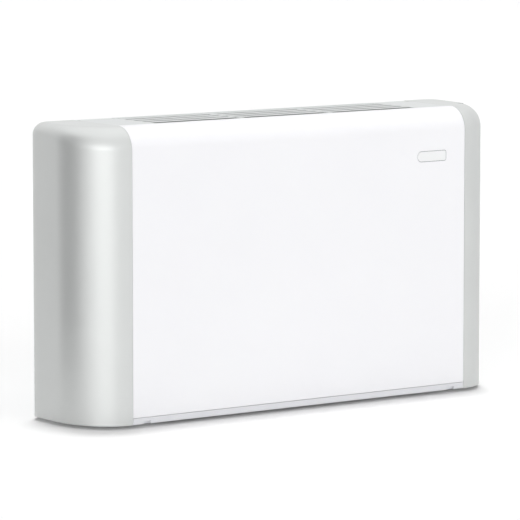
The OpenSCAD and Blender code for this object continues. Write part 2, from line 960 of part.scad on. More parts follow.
module motor_body() {
    half = motor_len / 2;
    color("dimgray") translate([0, fan_y, fan_z]) difference() {
        union() {
            rod_x(-half, half, 0, 0, motor_r);
            rod_x(-half - motor_hub_len, half + motor_hub_len, 0, 0, motor_hub_r);
            for (x = [-half + 12, half - 12]) {
                rod_x(x - 3, x + 3, 0, 0, motor_r + 2);
            }
        }
        rod_x(-big, big, 0, 0, shaft_r + run_fit);
    }
}

module motor_shaft() {
    color("silver") rod_x(-shaft_end, shaft_end, fan_y, fan_z, shaft_r);
}

module motor_rubbers() {
    color("black") for (side = [-1, 1]) {
        translate([side * cradle_x, fan_y, fan_z]) difference() {
            rod_x(-rubber_len / 2, rubber_len / 2, 0, 0, rubber_r);
            rod_x(-rubber_len, rubber_len, 0, 0, motor_hub_r + rest_fit);
        }
    }
}

module motor_cradle() {
    top = deck_z - rest_fit;
    color("lightsteelblue") {
        for (side = [-1, 1]) {
            on_side(side) difference() {
                along_x(cradle_x - sheet, cradle_x + sheet) difference() {
                    rect([fan_y - cradle_half, fan_z - cradle_half], [fan_y + cradle_half, top]);
                    translate([fan_y, fan_z]) circle(rubber_r + rest_fit);
                }
            }
        }
        box([-cradle_x - sheet, fan_y - cradle_half, top - sheet],
            [cradle_x + sheet, fan_y + cradle_half, top]);
    }
}

// Coil

// Places of the tubes in the coil's own Y Z plane
function tube_y(row) = (row - (coil_rows - 1) / 2) * row_pitch;
function tube_z(i) = (i - (coil_high - 1) / 2) * tube_pitch;

module tube_holes(r) {
    for (row = [0 : coil_rows - 1]) {
        for (i = [0 : coil_high - 1]) {
            translate([tube_y(row), tube_z(i)]) circle(r);
        }
    }
}

module coil_fins() {
    first = -(fin_count - 1) * fin_pitch / 2;
    color("gainsboro") in_coil() for (i = [0 : fin_count - 1]) {
        along_x(first + i * fin_pitch, first + i * fin_pitch + fin_t) difference() {
            rect([-coil_half_y, -coil_half_z], [coil_half_y, coil_half_z]);
            tube_holes(tube_r + rest_fit);
        }
    }
}

module coil_tubes() {
    color("peru") in_coil() along_x(-tube_end, tube_end) difference() {
        tube_holes(tube_r);
        tube_holes(tube_r - tube_wall);
    }
}

// A U bend in the X and local Z plane, joining two tube ends a pitch apart
module u_bend(pitch) {
    rotate([90, 0, 0]) rotate([0, 0, -90]) rotate_extrude(angle = 180)
            translate([pitch / 2, 0]) difference() {
        circle(tube_r, $fn = 32);
        circle(tube_r - tube_wall, $fn = 32);
    }
}

module return_bends() {
    x = tube_end + rest_fit;
    color("peru") in_coil() {
        for (row = [0 : coil_rows - 1]) {
            for (i = [0 : 2 : coil_high - 2]) {
                translate([x, tube_y(row), tube_z(i) + tube_pitch / 2]) u_bend(tube_pitch);
            }
        }
        for (i = [0 : coil_high - 1]) {
            row = i % 2 == 0 ? 1.5 : 0.5;
            translate([-x, tube_y(row), tube_z(i)]) rotate([0, 0, 180]) rotate([90, 0, 0])
                u_bend(row_pitch);
        }
    }
}

module tube_sheet(side) {
    color("lightsteelblue") in_coil() on_side(side) along_x(tube_sheet_in, tube_sheet_out) difference() {
        rect([-coil_half_y - sheet_edge, -coil_half_z - sheet_edge],
            [coil_half_y + sheet_edge, coil_half_z + sheet_edge]);
        tube_holes(tube_r + rest_fit);
    }
}

module left_tube_sheet() {
    tube_sheet(-1);
}

module right_tube_sheet() {
    tube_sheet(1);
}

// A header pipe with stubs to every second tube of one row
module header(row, first, lift) {
    x_stub = tube_end + rest_fit;
    color("peru") in_coil() mirror([1, 0, 0]) difference() {
        union() {
            translate([header_x, tube_y(row), -header_half]) cylinder(h = 2 * header_half, r = header_r);
            for (i = [first : 2 : coil_high - 1]) {
                rod_x(x_stub, header_x, tube_y(row), tube_z(i), tube_r);
            }
        }
        translate([header_x, tube_y(row), -header_half + 2])
            cylinder(h = 2 * header_half - 4, r = header_r - header_wall);
        for (i = [first : 2 : coil_high - 1]) {
            rod_x(x_stub - 1, header_x, tube_y(row), tube_z(i), tube_r - tube_wall);
        }
        rod_x(header_x, header_x + 2 * header_r, tube_y(row), lift, union_bore_r - 3);
    }
}

module supply_header() {
    header(0, 0, -union_lift);
}

module return_header() {
    header(2, 1, union_lift);
}

// A hexagon union with a round neck that reaches the header
module water_union(row, lift) {
    color("gold") in_coil() mirror([1, 0, 0]) translate([0, tube_y(row), lift]) difference() {
        union() {
            rod_x(header_x + header_r - 1, union_x + 2, 0, 0, header_r - 2);
            translate([union_x, 0, 0]) rotate([0, 90, 0]) cylinder(h = union_len, r = union_af_r, $fn = 6);
            rod_x(union_x + union_len - 1, union_x + union_len + 3, 0, 0, union_bore_r + 3);
        }
        translate([header_x, 0, -2 * header_r]) cylinder(h = 4 * header_r, r = header_r + rest_fit);
        rod_x(header_x, union_x + union_len, 0, 0, union_bore_r - 3);
        rod_x(union_x + union_len + 3 - union_depth, union_x + union_len + 4, 0, 0, union_bore_r);
    }
}

module inlet_union() {
    water_union(0, -union_lift);
}

module outlet_union() {
    water_union(2, union_lift);
}

module vent_body() {
    color("gold") in_coil() translate([-header_x, tube_y(2), header_half + rest_fit]) difference() {
        union() {
            cylinder(h = 5, r = bleed_r, $fn = 6);
            cylinder(h = 12, r = 5.4);
        }
        translate([0, 0, 4]) cylinder(h = 12, r = 2.5 + run_fit);
    }
}

module vent_screw() {
    color("silver") in_coil() translate([-header_x, tube_y(2), header_half + rest_fit]) difference() {
        union() {
            translate([0, 0, 6]) cylinder(h = 8, r = 2.5);
            translate([0, 0, 12.5]) cylinder(h = 6, r = bleed_screw_r);
        }
        translate([-5, -0.6, 17]) cube([10, 1.2, 3]);
    }
}

module drain_plug() {
    color("gold") in_coil() translate([-header_x, tube_y(0), -header_half - rest_fit]) {
        translate([0, 0, -7]) cylinder(h = 7, r = bleed_r, $fn = 6);
        translate([0, 0, -10]) cylinder(h = 4, r = 3.4);
    }
}

// Trough under the coil, deepest at the front, with a spout into the left bay
module drain_pan() {
    color("darkgray") difference() {
        union() {
            along_x(-pan_end, pan_end) polygon([[pan_front, pan_low + pan_front_h], [pan_front, pan_low],
                [pan_front + pan_flat, pan_low], [pan_rear, pan_low + pan_rise],
                [pan_rear, pan_low + pan_rear_h]]);
            rod_x(-pan_end - spout_len, -pan_end + 1, spout_y, spout_z, spout_r);
            for (x = [-pan_foot_x, 0, pan_foot_x]) {
                box([x - pan_t, pan_front + 8, deck_z + sheet + rest_fit],
                    [x + pan_t, pan_front + 40, pan_low + 1]);
            }
        }
        along_x(-pan_end + pan_t, pan_end - pan_t) polygon([[pan_front + pan_t, pan_low + pan_front_h + 1],
            [pan_front + pan_t, pan_low + pan_t], [pan_front + pan_flat, pan_low + pan_t],
            [pan_rear - pan_t, pan_low + pan_rise + pan_t],
            [pan_rear - pan_t, pan_low + pan_front_h + 1]]);
        rod_x(-pan_end - spout_len - 1, -pan_end + pan_t + 1, spout_y, spout_z, spout_bore_r);
    }
}

module side_drip_tray() {
    x0 = x_plate_out + rest_fit;
    color("darkgray") on_side(-1) difference() {
        box([x0, tray_y0, tray_z], [x0 + tray_len, tray_y1, tray_z + tray_h]);
        box([x0 + pan_t, tray_y0 + pan_t, tray_z + pan_t],
            [x0 + tray_len - pan_t, tray_y1 - pan_t, tray_z + tray_h + 1]);
    }
}

// Electrics

module terminal_box() {
    color("gray") difference() {
        box([bay_in, box_y0, box_z0], [bay_in + box_len, box_y1, box_z1]);
        box([bay_in + box_t, box_y0 + box_t, box_z0 + box_t],
            [bay_in + box_len + 1, box_y1 - box_t, box_z1 - box_t]);
        translate([bay_in + box_len / 2, 0, box_z0 - 1]) cylinder(h = box_t + 2, r = gland_r - 2 + rest_fit);
    }
}

module terminal_lid() {
    x = bay_in + box_len + rest_fit;
    color("dimgray") {
        box([x, box_y0, box_z0], [x + 2, box_y1, box_z1]);
        box([x - 4, box_y0 + box_t + rest_fit, box_z0 + box_t + rest_fit],
            [x + 0.5, box_y0 + box_t + 2, box_z1 - box_t - rest_fit]);
        box([x - 4, box_y1 - box_t - 2, box_z0 + box_t + rest_fit],
            [x + 0.5, box_y1 - box_t - rest_fit, box_z1 - box_t - rest_fit]);
        for (z = [box_z0 + 12, box_z1 - 12]) {
            rod_x(x + 1, x + 3.6, (box_y0 + box_y1) / 2, z, screw_head_r);
        }
    }
}

module terminal_block() {
    ways = 6;
    step = 13;
    x = bay_in + box_t + rest_fit;
    y0 = (box_y0 + box_y1 - ways * step) / 2;
    color("ivory") difference() {
        box([x, y0, box_z0 + 44], [x + 18, y0 + ways * step, box_z0 + 68]);
        for (i = [0 : ways - 1]) {
            rod_x(x + 8, x + 20, y0 + step * (i + 0.5), box_z0 + 50, 2.6);
            rod_x(x + 8, x + 20, y0 + step * (i + 0.5), box_z0 + 62, 2.6);
        }
        for (i = [1 : ways - 1]) {
            box([x + 14, y0 + step * i - 0.6, box_z0 + 43], [x + 20, y0 + step * i + 0.6, box_z0 + 69]);
        }
    }
}

module capacitor() {
    x = bay_in + cap_can_r + 3;
    color("lightgray") {
        rod_y(-cap_can_len / 2, cap_can_len / 2, x, cap_can_z, cap_can_r);
        rod_y(-cap_can_len / 2 - 8, -cap_can_len / 2 + 1, x, cap_can_z, 4);
    }
}

module capacitor_clip() {
    x = bay_in + cap_can_r + 3;
    r = cap_can_r + rest_fit;
    color("lightsteelblue") difference() {
        union() {
            rod_y(-9, 9, x, cap_can_z, r + 1.5);
            box([bay_in, -9, cap_can_z - r - 1.5], [bay_in + 1.5, 9, cap_can_z + r + 9]);
        }
        rod_y(-10, 10, x, cap_can_z, r);
        box([x + 4, -10, cap_can_z - big], [x + big, 10, cap_can_z + big]);
    }
}

module cable_gland() {
    color("black") translate([bay_in + box_len / 2, 0, box_z0]) difference() {
        union() {
            translate([0, 0, -rest_fit - 7]) cylinder(h = 7, r = gland_r + 2, $fn = 6);
            translate([0, 0, -rest_fit - 16]) cylinder(h = 10, r = gland_r - 1);
            translate([0, 0, -1]) cylinder(h = box_t + 6, r = gland_r - 2);
        }
        translate([0, 0, -30]) cylinder(h = 50, r = gland_bore_r);
    }
}

// Controls

module control_panel() {
    x0 = x_bay + seam_gap + trim_wall + rest_fit;
    x1 = x_seam - seam_gap - trim_wall - rest_fit;
    y0 = y_top0 + trim_wall + rest_fit;
    y1 = y_top1 - trim_wall - rest_fit;
    color("dimgray") difference() {
        box([x0, y0, control_z - control_t], [x1, y1, control_z]);
        for (y = [thermostat_y, speed_y]) {
            translate([control_mid, y, control_z - 10]) cylinder(h = 20, r = spindle_r + run_fit);
        }
        box([control_mid - rocker_w / 2 - seam_gap, rocker_y - rocker_r - seam_gap, control_z - 10],
            [control_mid + rocker_w / 2 + seam_gap, rocker_y + rocker_r + seam_gap, control_z + 5]);
    }
}

module knob(r, tall) {
    difference() {
        union() {
            cylinder(h = tall, r = r);
            translate([0, 0, -knob_lift - spindle_len]) cylinder(h = spindle_len + 1, r = spindle_r);
        }
        // Grip flutes round the rim and a pointer groove on top
        for (a = [0 : 30 : 330]) {
            rotate([0, 0, a]) translate([r + 1.2, 0, 2]) cylinder(h = tall, r = 2.2, $fn = 24);
        }
        translate([-0.8, 3, tall - 0.8]) cube([1.6, r - 4.5, 2]);
    }
}

module thermostat_knob() {
    color("white") translate([control_mid, thermostat_y, control_z + knob_lift])
        knob(thermostat_r, thermostat_h);
}

module speed_knob() {
    color("white") translate([control_mid, speed_y, control_z + knob_lift]) knob(speed_r, speed_h);
}

// A rocker that tips about X inside the control panel opening
module season_switch() {
    color("black") along_x(control_mid - rocker_w / 2, control_mid + rocker_w / 2)
        translate([rocker_y, control_z - 1]) difference() {
            circle(rocker_r);
            rect([-rocker_r - 1, -rocker_r - 1], [rocker_r + 1, -3]);
            polygon([[-rocker_r - 1, 3.4], [0, 2.2], [rocker_r + 1, 3.4], [rocker_r + 1, 20],
                [-rocker_r - 1, 20]]);
        }
}

front_panel();
front_liner();
badge_plate();
left_side_cap();
right_side_cap();
sensor_port();
rear_top_rail();
left_grille();
centre_grille();
right_grille();
left_door();
right_door();
left_door_frame();
right_door_frame();
back_panel();
left_end_plate();
right_end_plate();
top_front_rail();
base_rail();
fan_deck();
left_filter_guide();
right_filter_guide();
frame_screws();
cabinet_screws();
filter_frame();
filter_net();
left_scroll();
right_scroll();
left_fan_wheel();
right_fan_wheel();
motor_body();
motor_shaft();
motor_cradle();
motor_rubbers();
wheel_set_screws();
coil_fins();
coil_tubes();
return_bends();
left_tube_sheet();
right_tube_sheet();
supply_header();
return_header();
inlet_union();
outlet_union();
vent_body();
vent_screw();
drain_plug();
drain_pan();
side_drip_tray();
terminal_box();
terminal_lid();
terminal_block();
capacitor();
capacitor_clip();
cable_gland();
control_panel();
thermostat_knob();
speed_knob();
season_switch();
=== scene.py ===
# %% [markdown]
# # A fan coil unit, dressed for the camera
# The solid model brings every sheet, tube and moulding in its place. This script gives each of them
# its finish, and remakes the pieces whose soft edges and fine repeats a solid model leaves plain:
# the bent front, the two end caps, the louvred grilles, the doors, the rear rail, the coil fins and
# the filter net.

# %% Load the solid model
import json
import math

import bmesh
import bpy
from mathutils import Matrix, Vector


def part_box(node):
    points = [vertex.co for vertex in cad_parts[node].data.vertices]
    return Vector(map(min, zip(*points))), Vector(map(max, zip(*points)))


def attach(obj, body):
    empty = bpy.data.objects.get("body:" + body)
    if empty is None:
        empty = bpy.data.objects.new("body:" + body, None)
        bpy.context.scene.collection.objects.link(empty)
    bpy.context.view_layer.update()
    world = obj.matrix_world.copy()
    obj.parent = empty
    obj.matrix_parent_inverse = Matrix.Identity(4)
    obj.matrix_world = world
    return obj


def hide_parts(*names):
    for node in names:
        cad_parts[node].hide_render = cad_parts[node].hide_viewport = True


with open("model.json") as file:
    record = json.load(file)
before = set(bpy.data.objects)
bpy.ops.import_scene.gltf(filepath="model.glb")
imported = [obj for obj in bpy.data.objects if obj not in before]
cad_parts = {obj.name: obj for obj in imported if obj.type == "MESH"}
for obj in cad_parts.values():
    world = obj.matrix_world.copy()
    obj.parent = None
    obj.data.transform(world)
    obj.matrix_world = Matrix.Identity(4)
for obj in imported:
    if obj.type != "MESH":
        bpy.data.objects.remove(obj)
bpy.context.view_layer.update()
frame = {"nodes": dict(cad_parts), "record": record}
NODES = frame["nodes"]

# %% [markdown]
# ## Sizes
# The same sizes as in the solid model, in metres. The cabinet has its back to +Y and its origin in
# the middle of the base, so the front plane is at minus half the depth, and left and right mirror
# each other.

# %% Sizes shared by the pieces
MM = 0.001
WIDTH, DEPTH, HEIGHT = 984 * MM, 226 * MM, 564 * MM
FRONT, BACK, OUT = -DEPTH / 2, DEPTH / 2, WIDTH / 2
CAP_W, CAP_CORNER, CAP_REAR_R, CAP_WALL = 95 * MM, 118 * MM, 40 * MM, 2.5 * MM
SEAM = OUT - CAP_W
# GAP is a seam that shows, and CLEAR the hairline left between pieces that rest on each other
GAP, CLEAR = 0.5 * MM, 0.2 * MM
SHEET, TRIM = 1.2 * MM, 2.5 * MM
BEND_R, REAR_R = 45 * MM, 24 * MM
STRIP_H, GRILLE_H = 13 * MM, 24 * MM
LEDGE = HEIGHT - GRILLE_H - CLEAR
DOOR_W = 82 * MM
BAY = SEAM - DOOR_W
HINGE_R, HINGE_BACK = 5 * MM, 37 * MM
HINGE_Y = BACK - HINGE_BACK
RAIL_Y = HINGE_Y + HINGE_R + GAP
TOP_FRONT, TOP_REAR = FRONT + BEND_R + SHEET + GAP, RAIL_Y - GAP
print("seams at", SEAM, "grille field from", -BAY, "to", BAY)

# %% [markdown]
# ## The camera
# A long lens far away keeps the uprights of the cabinet upright, as in the photograph. Its angle,
# distance and lens were fitted to the edges of the cabinet in the photograph, for a frame of 520 by
# 520 pixels.

# %% Camera
VIEW_AZIMUTH, VIEW_ELEVATION = math.radians(-35.494), math.radians(6.902)
VIEW_DISTANCE, VIEW_END = 7.6656, 100
VIEW_TARGET = Vector((-22.7 * MM, 0, 276.8 * MM))
FOCAL_PIXELS, FRAME_PIXELS, SENSOR = 3919.57, 520, 36

camera_data = bpy.data.cameras.new("camera")
camera_data.sensor_width = SENSOR
camera_data.lens = FOCAL_PIXELS / FRAME_PIXELS * SENSOR
camera_data.clip_end = VIEW_END
camera = bpy.data.objects.new("camera", camera_data)
bpy.context.scene.collection.objects.link(camera)
back = Vector((math.sin(VIEW_AZIMUTH) * math.cos(VIEW_ELEVATION),
               -math.cos(VIEW_AZIMUTH) * math.cos(VIEW_ELEVATION), math.sin(VIEW_ELEVATION)))
camera.location = VIEW_TARGET + back * VIEW_DISTANCE
camera.rotation_mode = "QUATERNION"
camera.rotation_quaternion = (-back).to_track_quat("-Z", "Y")
bpy.context.scene.camera = camera
print("lens", round(camera_data.lens, 1), "mm")

# %% [markdown]
# ## Helpers for node trees
# Colours are written as sRGB hex, the way a paint chart gives them, and turned to linear light
# once. `add` makes one node, sets it and links it, so that a tree reads from top to bottom.

# %% Colour and node helpers
def linear(hex_value):
    """A colour written as sRGB hex, as the linear RGBA that a shader wants."""
    channels = [int(hex_value[i:i + 2], 16) / 255 for i in (1, 3, 5)]
    return [c / 12.92 if c <= 0.04045 else ((c + 0.055) / 1.055) ** 2.4 for c in channels] + [1.0]


def add(tree, kind, values=None, **settings):
    """Adds one node. A value that is a socket is linked, and any other is set."""
    made = tree.nodes.new(kind)
    for name, value in settings.items():
        setattr(made, name, value)
    for socket, value in (values or {}).items():
        if isinstance(value, bpy.types.NodeSocket):
            tree.links.new(value, made.inputs[socket])
        else:
            made.inputs[socket].default_value = value
    return made


def empty_tree(owner):
    """Turns on the nodes of a material or a world, and clears them."""
    owner.use_nodes = True
    owner.node_tree.nodes.clear()
    return owner.node_tree


def new_material(name):
    """A material with an empty tree, and the Object coordinates that its pattern reads."""
    material = bpy.data.materials.new(name)
    tree = empty_tree(material)
    place = add(tree, "ShaderNodeTexCoord").outputs["Object"]
    return material, tree, place


# %% [markdown]
# ## Powder-coated steel
# The front is steel sheet with a baked white powder coat. The powder flows out into a faint orange
# peel about 2 mm across, so highlights waver a little. A slow drift of tone keeps the big plane
# from looking like paper. Coated paint is not metallic: its gloss is a clear film with an IOR near
# 1.5.

# %% Powder-coated finishes
FILM_IOR = 1.5
PAINT_CLOUD, PEEL, PEEL_DEPTH = 180 * MM, 2.2 * MM, 0.15 * MM
PEEL_BUMP, PEEL_GLOSS = 0.12, 0.05


def powder_coat(name, colour, drift, roughness):
    """Baked powder paint: a slow drift of tone under an orange peel."""
    material, tree, place = new_material(name)
    cloud = add(tree, "ShaderNodeTexNoise", {
        "Vector": place, "Scale": 1 / PAINT_CLOUD, "Detail": 2.0})
    tone = add(tree, "ShaderNodeMix", {
        "Factor": cloud.outputs["Fac"], "A": linear(colour), "B": linear(drift)}, data_type="RGBA")
    peel = add(tree, "ShaderNodeTexNoise", {"Vector": place, "Scale": 1 / PEEL, "Detail": 2.0})
    gloss = add(tree, "ShaderNodeMapRange", {
        "Value": peel.outputs["Fac"], "To Min": roughness - PEEL_GLOSS,
        "To Max": roughness + PEEL_GLOSS})
    bump = add(tree, "ShaderNodeBump", {
        "Height": peel.outputs["Fac"], "Strength": PEEL_BUMP, "Distance": PEEL_DEPTH})
    shader = add(tree, "ShaderNodeBsdfPrincipled", {
        "Base Color": tone.outputs["Result"], "Roughness": gloss.outputs["Result"], "IOR": FILM_IOR,
        "Normal": bump.outputs["Normal"]})
    add(tree, "ShaderNodeOutputMaterial", {"Surface": shader.outputs["BSDF"]})
    return material


FINISH = {
    "white_painted_steel": powder_coat("white_powder_coated_steel", "#F6F6F8", "#F3F3F6", 0.38),
    "motor_grey_paint": powder_coat("grey_enamelled_motor_shell", "#4C4F54", "#44474C", 0.45),
}
print("painted finishes", list(FINISH))

# %% [markdown]
# ## Moulded plastics
# ABS comes out of a spark-eroded tool with a fine even grain. The grain of the real tool is a few
# hundredths of a millimetre; here it is drawn at half a millimetre so that it still shows. The
# silver caps are ABS with a metallic lacquer: aluminium flakes under a clear film, so they are
# partly metallic and satin.

# %% Moulded finishes
PLASTIC_CLOUD, GRAIN, GRAIN_DEPTH = 120 * MM, 0.5 * MM, 0.03 * MM
GRAIN_BUMP, GRAIN_GLOSS = 0.25, 0.06


def moulded(name, colour, drift, roughness, metallic=0.0):
    """Moulded plastic: a faint drift of tone and the even grain of the tool."""
    material, tree, place = new_material(name)
    cloud = add(tree, "ShaderNodeTexNoise", {
        "Vector": place, "Scale": 1 / PLASTIC_CLOUD, "Detail": 3.0})
    tone = add(tree, "ShaderNodeMix", {
        "Factor": cloud.outputs["Fac"], "A": linear(colour), "B": linear(drift)}, data_type="RGBA")
    spark = add(tree, "ShaderNodeTexNoise", {"Vector": place, "Scale": 1 / GRAIN, "Detail": 1.0})
    gloss = add(tree, "ShaderNodeMapRange", {
        "Value": spark.outputs["Fac"], "To Min": roughness - GRAIN_GLOSS,
        "To Max": roughness + GRAIN_GLOSS})
    bump = add(tree, "ShaderNodeBump", {
        "Height": spark.outputs["Fac"], "Strength": GRAIN_BUMP, "Distance": GRAIN_DEPTH})
    shader = add(tree, "ShaderNodeBsdfPrincipled", {
        "Base Color": tone.outputs["Result"], "Roughness": gloss.outputs["Result"],
        "Metallic": metallic, "IOR": FILM_IOR, "Normal": bump.outputs["Normal"]})
    add(tree, "ShaderNodeOutputMaterial", {"Surface": shader.outputs["BSDF"]})
    return material


FINISH.update({
    "silver_moulded_plastic": moulded("silver_lacquered_abs", "#D2D4D3", "#CDCFCE", 0.42,
                                      metallic=0.45),
    "white_trim_plastic": moulded("white_abs", "#F3F4F4", "#EFF0F1", 0.45),
    "grille_grey_plastic": moulded("grille_grey_abs", "#D2D4D4", "#CDD0D0", 0.48),
    "door_grey_plastic": moulded("door_grey_abs", "#D8DADA", "#D3D6D6", 0.45),
    "frame_grey_plastic": moulded("mid_grey_abs", "#8A8D91", "#82858A", 0.5),
    "dark_wheel_plastic": moulded("charcoal_nylon", "#3A3C40", "#333539", 0.5),
    "dark_grey_plastic": moulded("dark_grey_polycarbonate", "#4A4C50", "#424448", 0.42),
    "ivory_plastic": moulded("ivory_polyamide", "#E4DECB", "#DDD6C1", 0.4),
    "black_plastic": moulded("black_polyamide", "#1E1F21", "#18191B", 0.45),
    "white_knob_plastic": moulded("white_gloss_abs", "#ECEBE8", "#E7E6E2", 0.25),
})
print("with the moulded finishes", len(FINISH))

# %% [markdown]
# ## Galvanised sheet
# Hot-dip zinc freezes into flat crystals, the spangle, about 8 mm across. Neighbouring crystals
# differ a little in tone and in gloss, which a Voronoi cell pattern gives directly.

# %% Galvanised finish
SPANGLE = 8 * MM
ZINC_GLOSSY, ZINC_DULL, ZINC_METALLIC = 0.34, 0.52, 0.85


def galvanised(name, bright, dull):
    """Hot-dip zinc: crystals that each have a tone and a gloss of their own."""
    material, tree, place = new_material(name)
    cells = add(tree, "ShaderNodeTexVoronoi", {"Vector": place, "Scale": 1 / SPANGLE})
    grey = add(tree, "ShaderNodeSeparateColor", {"Color": cells.outputs["Color"]})
    tone = add(tree, "ShaderNodeMix", {
        "Factor": grey.outputs["Red"], "A": linear(bright), "B": linear(dull)}, data_type="RGBA")
    gloss = add(tree, "ShaderNodeMapRange", {
        "Value": grey.outputs["Green"], "To Min": ZINC_GLOSSY, "To Max": ZINC_DULL})
    shader = add(tree, "ShaderNodeBsdfPrincipled", {
        "Base Color": tone.outputs["Result"], "Roughness": gloss.outputs["Result"],
        "Metallic": ZINC_METALLIC})
    add(tree, "ShaderNodeOutputMaterial", {"Surface": shader.outputs["BSDF"]})
    return material


FINISH["galvanised_steel"] = galvanised("hot_dip_galvanised_steel", "#C3C8CC", "#B2B8BD")
print("spangle", SPANGLE, "m across")

# %% [markdown]
# ## Drawn and turned metals
# Copper tube, brass fittings, zinc screws and aluminium foil are bare metals, so the colour sits in
# the reflection and the IOR stays at its default. Handling and heat leave soft patches of duller
# tone.

# %% Bare metal finishes
SCRATCH, SCRATCH_GLOSS = 1.2 * MM, 0.08


def bare_metal(name, colour, tarnish, roughness, patch):
    """A bare metal with patches of tarnish and a fine waver in its gloss."""
    material, tree, place = new_material(name)
    cloud = add(tree, "ShaderNodeTexNoise", {"Vector": place, "Scale": 1 / patch, "Detail": 4.0})
    tone = add(tree, "ShaderNodeMix", {
        "Factor": cloud.outputs["Fac"], "A": linear(colour),
        "B": linear(tarnish)}, data_type="RGBA")
    scratch = add(tree, "ShaderNodeTexNoise", {
        "Vector": place, "Scale": 1 / SCRATCH, "Detail": 2.0})
    gloss = add(tree, "ShaderNodeMapRange", {
        "Value": scratch.outputs["Fac"], "To Min": roughness - SCRATCH_GLOSS,
        "To Max": roughness + SCRATCH_GLOSS})
    shader = add(tree, "ShaderNodeBsdfPrincipled", {
        "Base Color": tone.outputs["Result"], "Roughness": gloss.outputs["Result"],
        "Metallic": 1.0})
    add(tree, "ShaderNodeOutputMaterial", {"Surface": shader.outputs["BSDF"]})
    return material


FINISH.update({
    "zinc_screw_steel": bare_metal("zinc_plated_steel", "#C9CBCB", "#B4B6B4", 0.32, 4 * MM),
    "black_steel": bare_metal("black_oxide_steel", "#3C3D40", "#2E2F32", 0.4, 3 * MM),
    "fin_aluminium": bare_metal("rolled_aluminium_foil", "#D9DCDE", "#CBCED1", 0.35, 30 * MM),
    "can_aluminium": bare_metal("drawn_aluminium", "#CFD1D3", "#C3C5C8", 0.38, 15 * MM),
    "coil_copper": bare_metal("drawn_copper", "#C98663", "#A86A4A", 0.33, 12 * MM),
    "union_brass": bare_metal("turned_brass", "#C9AC66", "#B3944F", 0.3, 8 * MM),
})
print("with the metals", len(FINISH))

# %% [markdown]
# ## Foam, net and rubber
# The liner is closed-cell foam, the filter a woven synthetic net and the motor sits in rubber
# rings. All three are dull: light sinks into cells, between threads or into carbon black.

# %% Soft and dull finishes
SOFT_IOR, CELL_BUMP, CELL_DEPTH = 1.45, 0.4, 0.3 * MM


def cellular(name, colour, shade, cell, roughness):
    """A dull surface of small cells, each darker towards its rim."""
    material, tree, place = new_material(name)
    cells = add(tree, "ShaderNodeTexVoronoi", {"Vector": place, "Scale": 1 / cell})
    tone = add(tree, "ShaderNodeMix", {
        "Factor": cells.outputs["Distance"], "A": linear(colour),
        "B": linear(shade)}, data_type="RGBA")
    bump = add(tree, "ShaderNodeBump", {
        "Height": cells.outputs["Distance"], "Strength": CELL_BUMP, "Distance": CELL_DEPTH})
    shader = add(tree, "ShaderNodeBsdfPrincipled", {
        "Base Color": tone.outputs["Result"], "Roughness": roughness, "IOR": SOFT_IOR,
        "Normal": bump.outputs["Normal"]})
    add(tree, "ShaderNodeOutputMaterial", {"Surface": shader.outputs["BSDF"]})
    return material


FINISH.update({
    "grey_foam": cellular("closed_cell_foam", "#3E3F42", "#2C2D30", 1.6 * MM, 0.9),
    "filter_net_fibre": cellular("woven_polypropylene_net", "#4A4D52", "#33363A", 0.9 * MM, 0.75),
    "black_rubber": cellular("moulded_rubber", "#232323", "#1A1A1A", 1.2 * MM, 0.8),
})
print("with the soft finishes", len(FINISH))

# %% [markdown]
# ## Painting the solid pieces
# The record names a finish for each node, so one loop paints them all. The filter frame gets a
# plastic of its own, a shade greyer than the white trim, because its strip is greyer than the front
# in the photograph.

# %% Finishes on the nodes
for part in frame["record"]["subparts"]:
    NODES[part["node"]].data.materials.clear()
    NODES[part["node"]].data.materials.append(FINISH[part["material_slot"]])
NODES["filter_frame"].data.materials[0] = moulded("pale_grey_abs", "#E4E5E8", "#E0E1E5", 0.45)

# %% [markdown]
# ## Turning drawn points into a piece
# Pressed and moulded edges are never razor sharp. Most remade pieces get a small bevel, so their
# edges catch a thread of light, and all get smooth shading with sharp corners kept. The modifiers
# are applied at once, which leaves a plain mesh at the origin.

# %% Helpers that draw a shape
def arc(centre_u, centre_v, radius, start, end, steps):
    """Points of an arc in a plane of two axes, in degrees from the first of them."""
    turns = [math.radians(start + (end - start) * i / steps) for i in range(steps + 1)]
    return [(centre_u + radius * math.cos(t), centre_v + radius * math.sin(t)) for t in turns]


def bridge(shape, rings):
    """Adds a solid between two like rings of points, with a face on each ring."""
    first, last = [[shape.verts.new(point) for point in ring] for ring in rings]
    for i in range(len(first)):
        j = (i + 1) % len(first)
        shape.faces.new((first[i], first[j], last[j], last[i]))
    shape.faces.new(first)
    shape.faces.new(last)


def sweep(shape, outline, x0, x1):
    """Adds a closed Y Z outline run along X."""
    bridge(shape, [[(x, y, z) for y, z in outline] for x in (x0, x1)])


def block(shape, low, high):
    """Adds a box between two corners, given in any order."""
    for v in bmesh.ops.create_cube(shape, size=1)["verts"]:
        v.co = Vector([(a + b) / 2 + c * abs(b - a) for a, b, c in zip(low, high, v.co)])


# %% Helpers that make objects
def link_mesh(name, shape):
    """Moves a bmesh into a new object in the scene, with its faces as they are."""
    mesh = bpy.data.meshes.new(name)
    shape.to_mesh(mesh)
    shape.free()
    made = bpy.data.objects.new(name, mesh)
    bpy.context.scene.collection.objects.link(made)
    return made


def to_object(name, shape):
    """Moves a bmesh into a new object, with its faces turned outwards."""
    bmesh.ops.recalc_face_normals(shape, faces=shape.faces)
    return link_mesh(name, shape)


def join(name, objects):
    """Joins plain objects into one and removes the rest."""
    shape = bmesh.new()
    for made in objects:
        shape.from_mesh(made.data)
    for made in objects:
        bpy.data.objects.remove(made)
    return link_mesh(name, shape)


# %% Helpers that finish a piece
SOFT_ANGLE, SMOOTH_ANGLE = math.radians(40), math.radians(35)


